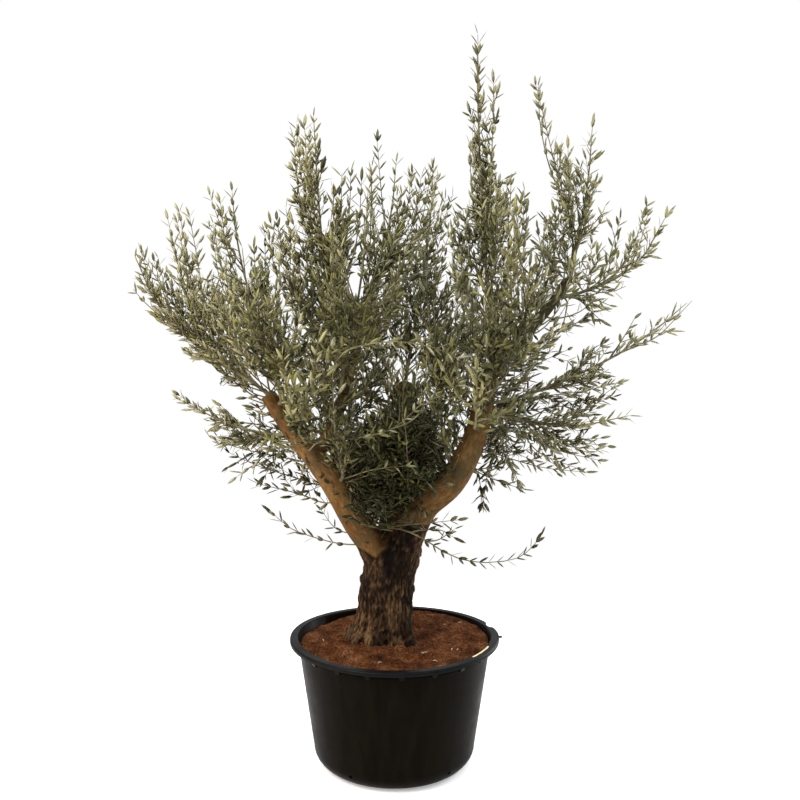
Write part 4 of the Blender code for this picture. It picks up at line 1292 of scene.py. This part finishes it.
def add_foliage(limbs):
    leaf_materials = [new_material(name, colour, 0.45, 0.28) for name, colour in LEAF_TOPS.items()]
    leaf_materials += [new_material(name, colour, 0.7, 0.2) for name, colour in LEAF_UNDERS.items()]
    twig_bark = twig_material()
    skeletons = {name: skeleton_of(name, limbs) for name in MASSES}
    fine = {name: fine_skeleton(name, paths, limbs) for name, paths in skeletons.items()}
    spaces = Spaces(fine, limbs)
    for name, skeleton in skeletons.items():
        twigs, leaves = grow_mass(name, skeleton[0], fine[name], spaces, limbs)
        twigs.shade_smooth()
        add_materials(twigs, twig_bark)
        add_materials(leaves, *leaf_materials)
        new_piece(twigs.name, twigs, "bark", f"foliage_{name}")
        new_piece(leaves.name, leaves, "foliage", f"foliage_{name}")


# Bark


def add_limb(bm, path, radii):
    """A closed skin of slightly lobed rings square to the path."""
    rows = []
    for i, (centre, across, upward) in enumerate(square_frames(path, Vector((0, 1, 0)))):
        drift = LOBE_DRIFT * BOUGH_RINGS * i / len(path)
        rows.append([])
        for turn in turns(FINE_LIMB_SIDES):
            two_lobes = LOBE_DEPTHS[0] * math.sin(2 * turn + 1)
            three_lobes = LOBE_DEPTHS[1] * math.sin(3 * turn + drift)
            radius = radii[i] * (1 + two_lobes + three_lobes)
            point = centre + across * radius * math.cos(turn) + upward * radius * math.sin(turn)
            rows[-1].append(bm.verts.new(point))
    for low, high in zip(rows, rows[1:]):
        for i, corner in enumerate(low):
            j = (i + 1) % len(low)
            bm.faces.new((corner, low[j], high[j], high[i]))
    bm.faces.new(rows[0][::-1])
    bm.faces.new(rows[-1])


def wood_routes(limbs):
    """Fine path and radii of the trunk, the boughs and the side limbs, started inside what carries them."""
    routes = {name: smooth_line(*bough, FINE_LIMB_RINGS) for name, bough in BOUGHS.items()}
    for name in SIDE_LIMBS:
        path, radii = limbs[name]
        inside = path[0] - (path[1] - path[0]).normalized() * radii[0] * 0.8
        routes[name] = smooth_line([inside] + path, [radii[0]] + radii, FINE_LIMB_RINGS)
    return {"trunk": limbs["trunk"], **routes}


def wood_blank(routes):
    """Trunk, boughs and side limbs melted into one even skin."""
    bm = bmesh.new()
    bm.from_mesh(frame["nodes"]["trunk"].data)
    for name, (path, radii) in routes.items():
        if name != "trunk":
            add_limb(bm, path, radii)
    bmesh.ops.recalc_face_normals(bm, faces=bm.faces)
    blank = linked("wood_blank", mesh_of(bm, "wood_blank"))
    modify(blank, "REMESH", mode="VOXEL", voxel_size=BARK_VOXEL)
    modify(blank, "SMOOTH", iterations=BARK_SMOOTHING, factor=0.5)
    return baked(blank)


def layers(place):
    """Swells, creases between ridges, cords and grain at (across, across, along) the limb, and 1."""
    x, y, g = place
    drift = 0.01 * noise.noise(Vector((x * 10, y * 10, g * 8)))
    x, y = x + drift, y - drift
    broad = noise.noise(Vector((x * 15, y * 15, g * 5)))
    crease = abs(noise.noise(Vector((x * 78, y * 78, g * 24 + 3.1))))
    cord = noise.noise(Vector((x * 130, y * 130, g * 36 + 7.7)))
    fine = noise.noise(Vector((x * 210, y * 210, g * 60)))
    return broad, crease, cord, fine, 1


def places_on_wood(points, lines):
    """Weight of each limb at every point, and the point's place across and along that limb."""
    nearness = []
    places = []
    row = np.arange(len(points))
    for path, radii in lines.values():
        starts, ends = segments([path])
        lengths = np.sqrt(((ends - starts) ** 2).sum(1))
        along, gaps, distances = closest(points, starts, ends)
        nearest = distances.argmin(1)
        before = np.concatenate([[0], np.cumsum(lengths)])[nearest]
        run = before + along[row, nearest] * lengths[nearest] + path[0].z
        gap = gaps[row, nearest]
        nearness.append(distances[row, nearest] - np.array(radii)[nearest])
        places.append(np.column_stack([gap[:, :2], run + gap[:, 2] * 0.3]))
    nearness = np.array(nearness)
    weights = np.exp(-(nearness - nearness.min(0)) / LIMB_BLEND)
    return weights / weights.sum(0), np.array(places)


def age_of_bark(points):
    """1 on the rough bark of the trunk, 0 on the smooth bark of the boughs."""
    border = np.interp(points[:, 0], BARK_BORDER_ACROSS, BARK_BORDER_HEIGHT)
    ragged = [BARK_BORDER_RAGGED * noise.noise(Vector(point) * 34) for point in points]
    return np.clip((border + ragged - points[:, 2]) / BARK_BORDER_BLUR, 0, 1)


def bark_relief(weights, places, age):
    """Lift and tone of the bark at every point."""
    relief = np.zeros((len(age), 2))
    for weight, place in zip(weights, places):
        near = np.nonzero(weight > 0.03)[0]
        values = np.array([layers(point) for point in place[near]])
        rough, smooth = values @ np.transpose(ROUGH_BARK), values @ np.transpose(SMOOTH_BARK)
        relief[near] += weight[near, None] * (smooth + (rough - smooth) * age[near, None])
    return relief.T


def toe_lift(points):
    """Lift of the bark by the toes of the foot, which fade out upwards."""
    _, x, y, _, _ = TRUNK_SECTIONS[0]
    azimuths = np.degrees(np.arctan2(points[:, 0] - x, -(points[:, 1] - y)))
    height = np.clip((points[:, 2] - SOIL_SEAT) / FOOT_HEIGHT, 0, 1)
    lift = np.zeros(len(points))
    for azimuth, width, reach in TOES:
        turn = (azimuths - azimuth + 180) % 360 - 180
        lift += reach * np.exp(-(turn / width) ** 2)
    return lift * (1 - height) ** 1.6


def bell(points, place, spread):
    """1 at a place, fading to 0 round it."""
    return np.exp(-((points - np.array(place)) ** 2).sum(1) / spread ** 2)


def add_bark(limbs):
    lines = wood_routes(limbs)
    mesh = wood_blank(lines)
    points, normals = vectors_of(mesh, "co"), vectors_of(mesh, "normal")
    weights, places = places_on_wood(points, lines)
    age = age_of_bark(points)
    height, tone = bark_relief(weights, places, age)
    add_attribute(mesh, "relief", np.clip(tone, 0, 1))
    add_attribute(mesh, "age", age)
    # Ochre is the bark's own colour; the "dark" attribute holds painted shade for the trunk's hollows and the
    # fork.
    for name, patches in (("ochre", OCHRE_PATCHES), ("dark", PAINTED_SHADE_PATCHES)):
        add_attribute(mesh, name, np.max([bell(points, *patch) for patch in patches], 0))
    add_attribute(mesh, "grain", (weights[:, :, None] * places).sum(0), "FLOAT_VECTOR", "vector")
    height += sum(lift * bell(points, place, spread) for place, spread, lift in SWELLINGS)
    outward = normals * (1, 1, 0.2)
    points += normals * height[:, None] + outward * toe_lift(points)[:, None]
    points[points[:, 2] < SOIL_SEAT + FOOT_EDGE, 2] -= FOOT_SUNK
    mesh.vertices.foreach_set("co", points.astype(np.float32).ravel())
    mesh.update()
    mesh.shade_smooth()
    add_materials(mesh, bark_material())
    new_piece("bark", mesh, "bark", "trunk", *BOUGHS, *SIDE_LIMBS)


def bark_material():
    """Dark fibrous bark on the trunk, smooth orange-brown bark with grey-green spots on the boughs; painted
    shade darkens the hollows, creases and grooves between fibres, and painted light brightens the fibres.
    """
    material = new_material("olive_bark", (0.15, 0.085, 0.042), 0.9, 0.1)
    paint = Paint(material)
    relief = paint.attribute("relief")
    fibres = paint.grain(paint.place(z=0.42, vector=paint.attribute("grain", "Vector")), 170, 6, 0.7)
    spots = paint.grain(paint.place(z=0.7), 30, 3)
    patches = paint.grain(paint.place(z=0.55), 13, 5)
    # The tone ramps darken the bark where its relief is low: partly darker bark in the fissures, partly
    # painted shade in the creases.
    old = paint.ramp(relief, {
        0.12: (0.004, 0.0025, 0.0015), 0.4: (0.019, 0.0105, 0.005), 0.62: (0.058, 0.033, 0.015),
        0.9: (0.14, 0.085, 0.042),
    })
    clouds = paint.ramp(paint.steps(patches, 0.4, 0.6), {0: (0.42, 0.4, 0.38), 1: (1.25, 1.2, 1.15)})
    old = paint.mixed(0.9, old, clouds, "MULTIPLY")
    old = paint.mixed(paint.steps(paint.attribute("ochre"), 0.25, 0.75), old, (0.16, 0.096, 0.04))
    # Painted shade and painted light: the fibres darken their grooves and brighten their ridges, besides
    # their own grain.
    old = paint.mixed(0.85, old, paint.ramp(fibres, {0.34: 0.25, 0.62: 1.25}), "MULTIPLY")
    # The same darkening where the relief is low on the smooth bark, partly painted shade.
    young = paint.ramp(relief, {
        0.1: (0.055, 0.026, 0.008), 0.4: (0.135, 0.068, 0.021), 0.65: (0.205, 0.112, 0.038),
        0.9: (0.28, 0.175, 0.075),
    })
    young = paint.mixed(paint.steps(patches, 0.5, 0.66), young, (0.085, 0.062, 0.028))
    young = paint.mixed(paint.steps(spots, 0.62, 0.7), young, (0.03, 0.022, 0.012))
    # The same painted shade and painted light of the fibres, weaker on the smooth bark.
    young = paint.mixed(0.35, young, paint.ramp(fibres, {0.34: 0.5, 0.62: 1.1}), "MULTIPLY")
    height = paint.node("SeparateXYZ", {"Vector": paint.place()}, "Z")
    young = paint.mixed(paint.steps(height, 1.36, 1.52), young, (0.062, 0.052, 0.028))
    bark = paint.mixed(paint.attribute("age"), young, old)
    # Painted shade: the bark is darkened in the hollows of the foot and below the fork.
    painted_shade_mask = paint.steps(paint.attribute("dark"), 0.1, 0.7)
    paint.set("Base Color", paint.mixed(painted_shade_mask, bark, (0.22, 0.2, 0.18), "MULTIPLY"))
    paint.bump(fibres, 0.6, 0.004)
    return material


# Soil


def inner_wall_radius(height):
    run = (height - CORNER_RADIUS) / (POT_HEIGHT - CORNER_RADIUS)
    return WALL_BASE_RADIUS + (WALL_TOP_RADIUS - WALL_BASE_RADIUS) * run - WALL


def soil_height(x, y):
    """Height of the crumbly surface, which falls to the edge and lies higher at the back right."""
    edge = inner_wall_radius(SOIL_EDGE)
    share = min(max((math.hypot(x, y) - SOIL_TOP_RADIUS) / (edge - SOIL_TOP_RADIUS), 0), 1)
    high_side = round_the_pot(1, SOIL_RISE_AZIMUTH, 0)
    facing = max(0, (x * high_side.x + y * high_side.y) / edge)
    base = SOIL_SEAT + (SOIL_EDGE - SOIL_SEAT) * share * share + SOIL_RISE * facing * share
    for (form_x, form_y), spread, lift in SOIL_FORMS:
        base += lift * math.exp(-((x - form_x) ** 2 + (y - form_y) ** 2) / spread ** 2)

    def waves(scale, level):
        return noise.noise(Vector((x * scale, y * scale, level)))

    def clods(scale, level):
        """Rounded lumps, 1 at the middle of each and 0 between them."""
        distances, _ = noise.voronoi(Vector((x * scale, y * scale, level)))
        return max(0, 1 - (distances[0] / 0.75) ** 2)

    crumbs = (0.5 + 0.5 * waves(15, 6.4)) * (0.01 * clods(42, 0.7) + 0.008 * clods(80, 1.7))
    fine = 0.0012 * waves(210, 3.4)
    calm = 1 - 0.7 * max(0, share - 0.85) / 0.15
    return base + calm * (0.006 * waves(9, 0.4) + 0.011 * waves(24, 1.4) + crumbs + fine - 0.006)


def chip_mesh():
    """Pale slivers of wood that lie on the soil, each a thin bent wedge."""
    rule = random.Random("chips")
    chips = Tubes()
    for _ in range(CHIPS):
        centre = round_the_pot(rule.uniform(*CHIP_PLACES), rule.uniform(-180, 180), 0)
        turn = rule.uniform(0, math.tau)
        along = Vector((math.cos(turn), math.sin(turn), rule.uniform(-0.25, 0.25)))
        along *= rule.uniform(*CHIP_HALF_LENGTHS)
        across = Vector((-math.sin(turn), math.cos(turn), 0)) * rule.uniform(*CHIP_HALF_WIDTHS)
        centre.z = soil_height(centre.x, centre.y) + CHIP_LIFT
        rings = []
        for share, width in ((-1, 0.5), (0, 1), (1, 0.4)):
            middle, crown = centre + along * share, CHIP_CROWN * (1 - share * share)
            rings.append([
                middle + across * side * width + UP * (lift * CHIP_HALF_THICKNESS + crown)
                for side, lift in ((-1, -1), (1, -1), (1, 1), (-1, 1))
            ])
        chips.add_rings(rings)
    return chips.mesh("soil_chips")


def soil_mesh():
    """The crumbly surface and the sides that go down inside the pot to its floor."""
    edge = inner_wall_radius(SOIL_EDGE) - 2 * GAP
    rings = [(edge * (ring / SOIL_RINGS) ** 0.8, None) for ring in range(1, SOIL_RINGS + 1)]
    rings.append((inner_wall_radius(CORNER_RADIUS) - 2 * GAP, CORNER_RADIUS))
    rings.append((WALL_BASE_RADIUS - 2 * WALL - SOIL_FOOT_INSET, SOIL_FOOT_HEIGHT))
    points = [(0, 0, soil_height(0, 0))]
    for radius, height in rings:
        for turn in turns(SOIL_SIDES):
            x, y = radius * math.sin(turn), -radius * math.cos(turn)
            points.append((x, y, soil_height(x, y) if height is None else height))
    points.append((0, 0, WALL + 2 * GAP))
    faces = []
    last = len(points) - 1
    for side in range(SOIL_SIDES):
        beside = (side + 1) % SOIL_SIDES
        faces.append((0, 1 + side, 1 + beside))
        for low in range(1, 1 + (len(rings) - 1) * SOIL_SIDES, SOIL_SIDES):
            high = low + SOIL_SIDES
            faces.append((low + side, high + side, high + beside))
            faces.append((low + side, high + beside, low + beside))
        faces.append((last, last - SOIL_SIDES + beside, last - SOIL_SIDES + side))
    return mesh_from_arrays("soil_ground", points, faces)


def soil_material():
    material = new_material("brown_soil", (0.11, 0.045, 0.022), 0.95, 0.08)
    paint = Paint(material)
    place = paint.place()
    crumbs = paint.grain(place, 130, 8, 0.75)
    colours = {0.32: (0.036, 0.011, 0.0035), 0.5: (0.096, 0.032, 0.009), 0.68: (0.2, 0.084, 0.034)}
    base = paint.ramp(paint.grain(place, 16, 8, 0.65), colours)
    # The crumbs darken the soil between them and brighten their tops: partly the soil's own darker gaps,
    # partly painted shade between the crumbs and painted light on them.
    base = paint.mixed(0.95, base, paint.ramp(crumbs, {0.38: 0.08, 0.58: (1.25, 1.2, 1.15)}), "MULTIPLY")
    bits = paint.node("TexVoronoi", {"Vector": place, "Scale": 240}, "Color")
    bits = paint.node("SeparateColor", {"Color": bits}, "Red")
    paint.set("Base Color", paint.mixed(paint.steps(bits, 0.988, 0.992), base, (0.16, 0.09, 0.045)))
    paint.bump(crumbs, 1, 0.006)
    return material


def add_soil():
    ground, chips = soil_mesh(), chip_mesh()
    ground.shade_smooth()
    add_materials(ground, soil_material())
    add_materials(chips, new_material("pale_wood", (0.42, 0.33, 0.22), 0.8, 0.2))
    new_piece("soil_ground", ground, "soil", "soil")
    new_piece("soil_chips", chips, "soil", "soil")


# Pot


def arc(centre, radius, start, end, count):
    """Points of an arc in the profile's plane, from one angle to another in degrees."""
    points = []
    for step in range(count + 1):
        angle = math.radians(start + (end - start) * step / count)
        points.append((centre[0] + radius * math.cos(angle), centre[1] + radius * math.sin(angle)))
    return points


def pot_profile():
    corner = (WALL_BASE_RADIUS - CORNER_RADIUS, CORNER_RADIUS)
    lip = (LIP_RADIUS - LIP_ROUNDING, POT_HEIGHT - LIP_ROUNDING)
    lip_under = POT_HEIGHT - LIP_HEIGHT
    channel_top = POT_HEIGHT - WALL
    collar_under = POT_HEIGHT - COLLAR_DROP
    mouth = inner_wall_radius(POT_HEIGHT)
    return [
        (0, WALL), *arc(corner, CORNER_RADIUS - WALL, -90, 0, 8),
        (mouth, channel_top), (mouth + WALL, POT_HEIGHT), *arc(lip, LIP_ROUNDING, 90, 0, 6),
        (LIP_RADIUS, lip_under), (LIP_RADIUS - WALL, lip_under), (LIP_RADIUS - WALL, channel_top),
        (COLLAR_RADIUS, channel_top), (COLLAR_RADIUS, lip_under),
        (COLLAR_RADIUS + COLLAR_SPLAY, collar_under),
        (inner_wall_radius(collar_under) + WALL, collar_under),
        *arc(corner, CORNER_RADIUS, 0, -90, 9), (0, 0),
    ]


def turned(name, profile):
    """A closed turned solid from a profile that starts and ends on the Z axis."""
    mesh = bpy.data.meshes.new(name)
    edges = [(i, i + 1) for i in range(len(profile) - 1)]
    mesh.from_pydata([(x, 0, z) for x, z in profile], edges, [])
    obj = linked(name, mesh)
    modify(obj, "SCREW", steps=POT_SIDES, render_steps=POT_SIDES, use_merge_vertices=True,
           merge_threshold=0.0001)
    return baked(obj)


def rounded_block(name, azimuth, corner, move=(0, 0, 0)):
    """A block at the pot's rim with rounded edges, whose corners are placed from those of a unit cube."""
    bm = bmesh.new()
    bmesh.ops.create_cube(bm, size=1)
    for vert in bm.verts:
        vert.co = corner(vert.co)
    bmesh.ops.bevel(bm, geom=list(bm.edges), offset=GUSSET_ROUNDING, segments=2, affect="EDGES")
    bmesh.ops.translate(bm, vec=move, verts=bm.verts)
    bmesh.ops.rotate(bm, verts=bm.verts, matrix=Matrix.Rotation(math.radians(azimuth), 3, "Z"))
    return mesh_of(bm, name)


def gusset_corner(corner):
    """A web under the lip tapers towards the wall as it goes down."""
    if corner.z > 0:
        height = POT_HEIGHT - WALL / 2
        inner, outer = inner_wall_radius(height) + WALL / 2, GUSSET_RADIUS
    else:
        height = POT_HEIGHT - GUSSET_DROP
        inner = inner_wall_radius(height) + WALL / 2
        outer = inner + GUSSET_FOOT_DEPTH
    return corner.x * GUSSET_WIDTH, -(outer if corner.y < 0 else inner), height


def tag_corner(corner):
    """A small moulding tag, still at the origin."""
    return [side * size for side, size in zip(corner, TAG_SIZE)]


def drain_cutter(index):
    """A cutter through the rounded corner between wall and base."""
    bm = bmesh.new()
    bmesh.ops.create_cone(
        bm, cap_ends=True, segments=DRAIN_SIDES, radius1=DRAIN_RADIUS, radius2=DRAIN_RADIUS, depth=4 * WALL
    )
    azimuth = DRAIN_FIRST_AZIMUTH + index * 360 / DRAIN_HOLES
    reach = WALL_BASE_RADIUS - CORNER_RADIUS + (CORNER_RADIUS - WALL / 2) * math.cos(DRAIN_SLOPE)
    height = CORNER_RADIUS - (CORNER_RADIUS - WALL / 2) * math.sin(DRAIN_SLOPE)
    outward = round_the_pot(math.cos(DRAIN_SLOPE), azimuth, -math.sin(DRAIN_SLOPE))
    turn = outward.to_track_quat("Z", "Y").to_matrix().to_4x4()
    bm.transform(Matrix.Translation(round_the_pot(reach, azimuth, height)) @ turn)
    return mesh_of(bm, f"drain_{index}")


def rim_rise(height):
    """0 where the wall is still true, 1 at the rim."""
    return min(max((height - WARP_FROM) / (POT_HEIGHT - WARP_FROM), 0), 1) ** 2


def rim_lift(azimuth, height):
    """How far the warped rim stands above a level circle."""
    return RIM_LIFT * math.sin(math.radians(azimuth)) ** 2 * rim_rise(height)


def shape_rim(mesh):
    """The warp of the rim, a bulge where it is gripped and a broken notch in the lip."""
    for vert in mesh.vertices:
        x, y, z = vert.co
        radius = math.hypot(x, y)
        if z < WARP_FROM or radius < WALL_BASE_RADIUS:
            continue
        azimuth = math.degrees(math.atan2(x, -y))
        reach = radius + GRIP_BULGE * math.exp(-((azimuth - GRIP_AZIMUTH) / GRIP_WIDTH) ** 2) * rim_rise(z)
        if NOTCH[0] < azimuth < NOTCH[1] and reach > COLLAR_RADIUS:
            reach -= NOTCH_DEPTH * (reach - COLLAR_RADIUS)
        vert.co = (x * reach / radius, y * reach / radius, z + rim_lift(azimuth, z))


def add_rim_strip():
    """A thin pale strip that lies on the inner edge of the lip."""
    strip = Tubes()
    rings = []
    for step in range(STRIP_STEPS + 1):
        azimuth = STRIP_AZIMUTHS[0] + (STRIP_AZIMUTHS[1] - STRIP_AZIMUTHS[0]) * step / STRIP_STEPS
        outer = STRIP_RADII[1] + STRIP_WOBBLE * math.sin(azimuth * 0.9)
        top = POT_HEIGHT + rim_lift(azimuth, POT_HEIGHT) + STRIP_THICKNESS / 2
        low = top - STRIP_THICKNESS
        corners = ((STRIP_RADII[0], low), (outer, low), (outer, top), (STRIP_RADII[0], top))
        rings.append([round_the_pot(radius, azimuth, height) for radius, height in corners])
    strip.add_rings(rings)
    mesh = strip.mesh("rim_strip")
    mesh.flip_normals()
    add_materials(mesh, new_material("cream_strip", (0.78, 0.65, 0.36), 0.6, 0.2))
    new_piece("rim_strip", mesh, "pot_plastic", "pot")


def pot_mesh():
    """The turned pot with its webs and tag joined on and its drain holes cut."""
    blank = linked("pot_blank", turned("pot_turned", pot_profile()))
    azimuths = [GUSSET_FIRST_AZIMUTH + index * 360 / GUSSETS for index in range(GUSSETS)]
    blocks = [rounded_block(f"gusset_{azimuth:.0f}", azimuth, gusset_corner) for azimuth in azimuths]
    tag_place = (0, -TAG_RADIUS, POT_HEIGHT - LIP_HEIGHT / 2)
    blocks.append(rounded_block("rim_tag", TAG_AZIMUTH, tag_corner, tag_place))
    cutters = [drain_cutter(index) for index in range(DRAIN_HOLES)]
    operands = {}
    for operation, meshes in (("UNION", blocks), ("DIFFERENCE", cutters)):
        operands[operation] = bpy.data.collections.new(operation)
        bpy.context.scene.collection.children.link(operands[operation])
        for mesh in meshes:
            operands[operation].objects.link(bpy.data.objects.new(mesh.name, mesh))
        modify(blank, "BOOLEAN", operation=operation, solver="MANIFOLD", operand_type="COLLECTION",
               collection=operands[operation])
    mesh = baked(blank)
    for collection in operands.values():
        for obj in list(collection.objects):
            bpy.data.objects.remove(obj)
        bpy.data.collections.remove(collection)
    return mesh


def pot_material(name, dark, light, gloss, sheen):
    """Black plastic with streaks, dull and shiny patches and dusty scuffs."""
    material = new_material(name, light, 0.42, gloss, {"Specular Tint": rgba(sheen)})
    paint = Paint(material)
    streaks = paint.grain(paint.place(z=0.12), 30, 5)
    scuffs = paint.grain(paint.place(z=0.35), 26, 8, 0.75)
    colour = paint.ramp(streaks, {0.35: dark, 0.7: light})
    paint.set("Base Color", paint.mixed(paint.steps(scuffs, 0.7, 0.8), colour, (0.03, 0.026, 0.019)))
    paint.set("Roughness", paint.steps(paint.grain(paint.place(), 9, 6, 0.7), 0.3, 0.7, 0.3, 0.52))
    paint.bump(paint.grain(paint.place(), 420, 3), 0.12, 0.0006)
    return material


def add_pot():
    mesh = pot_mesh()
    mesh.name = "pot_shell"
    shape_rim(mesh)
    # Painted reflection colours: the wall's reflections are tinted warm and the lip's cool; the lip's copy of
    # the plastic is painted lighter and bluer as painted light on its top.
    wall = pot_material("black_wall", (.0022, .0016, .0009), (.0048, .0036, .0019), 0.026, (1, 0.88, 0.72))
    lip = pot_material("black_lip", (.0024, .0025, .0025), (.0056, .0058, .0056), 0.08, (0.94, 1, 1))
    add_materials(mesh, wall, lip)
    for face in mesh.polygons:
        x, y, z = face.center
        face.material_index = int(z > POT_HEIGHT - LIP_HEIGHT and math.hypot(x, y) > WALL_TOP_RADIUS)
    mesh.shade_smooth()
    mesh.set_sharp_from_angle(angle=math.radians(35))
    new_piece("pot_shell", mesh, "pot_plastic", "pot")
    add_rim_strip()


# Stage


def add_camera():
    camera = linked("camera", bpy.data.cameras.new("camera"))
    camera.location = (0, -CAMERA_DISTANCE, CAMERA_HEIGHT)
    camera.rotation_euler = (math.pi / 2 - CAMERA_PITCH, 0, 0)
    camera.data.sensor_width = 36
    camera.data.lens = LENS_IN_PIXELS / FRAME_PIXELS * camera.data.sensor_width
    camera.data.shift_x = (FRAME_PIXELS / 2 - AXIS_COLUMN) / FRAME_PIXELS
    bpy.context.scene.camera = camera


def add_light(name, place, target_height, size, power, colour=WHITE):
    light = linked(name, bpy.data.lights.new(name, "AREA"))
    light.location = place
    light.rotation_euler = (Vector((0, 0, target_height)) - Vector(place)).to_track_quat("-Z", "Y").to_euler()
    light.data.size = size
    light.data.energy = power
    light.data.color = colour


def add_world():
    """White round the view, and a soft dome of light that is brighter overhead."""
    world = bpy.data.worlds.new("studio")
    bpy.context.scene.world = world
    world.use_nodes = True
    paint = Paint(world, "Background")
    paint.set("Color", rgba(WHITE))
    upward = paint.node("SeparateXYZ", {"Vector": paint.node("TexCoord", output="Generated")}, "Z")
    dome = paint.steps(upward, 0, 1, *SKY)
    dome = paint.node("Mix", {0: paint.steps(upward, -0.01, 0), 2: UNDER_FLOOR, 3: dome})
    seen = paint.node("LightPath", output="Is Camera Ray")
    paint.set("Strength", paint.node("Mix", {0: seen, 2: dome, 3: 1}))


def add_floor():
    bm = bmesh.new()
    bmesh.ops.create_circle(bm, cap_ends=True, segments=96, radius=FLOOR_RADIUS)
    floor = linked("floor", mesh_of(bm, "floor"))
    glow = {"Emission Color": rgba(WHITE), "Emission Strength": FLOOR_GLOW}
    add_materials(floor.data, new_material("floor_white", (0.9, 0.9, 0.9), 0.9, more=glow))
    floor.location.z = -FLOOR_DROP


def main():
    bpy.context.scene.view_settings.view_transform = "Standard"
    add_camera()
    add_world()
    add_light("key", (-3.2, -2.8, 4.6), 1.4, 2.2, 230)
    add_light("fill", (3, -1.6, 3.6), 1.3, 2.5, 25)
    add_light("warm", (-2.6, -1.2, 0.55), 0.35, 1.2, 22, (1, 0.55, 0.26))
    add_light("rim", (2.8, 1.6, 1.2), 0.9, 1.4, 60)
    add_floor()
    limbs = limbs_of_frame()
    add_bark(limbs)
    add_foliage(limbs)
    add_soil()
    add_pot()


main()
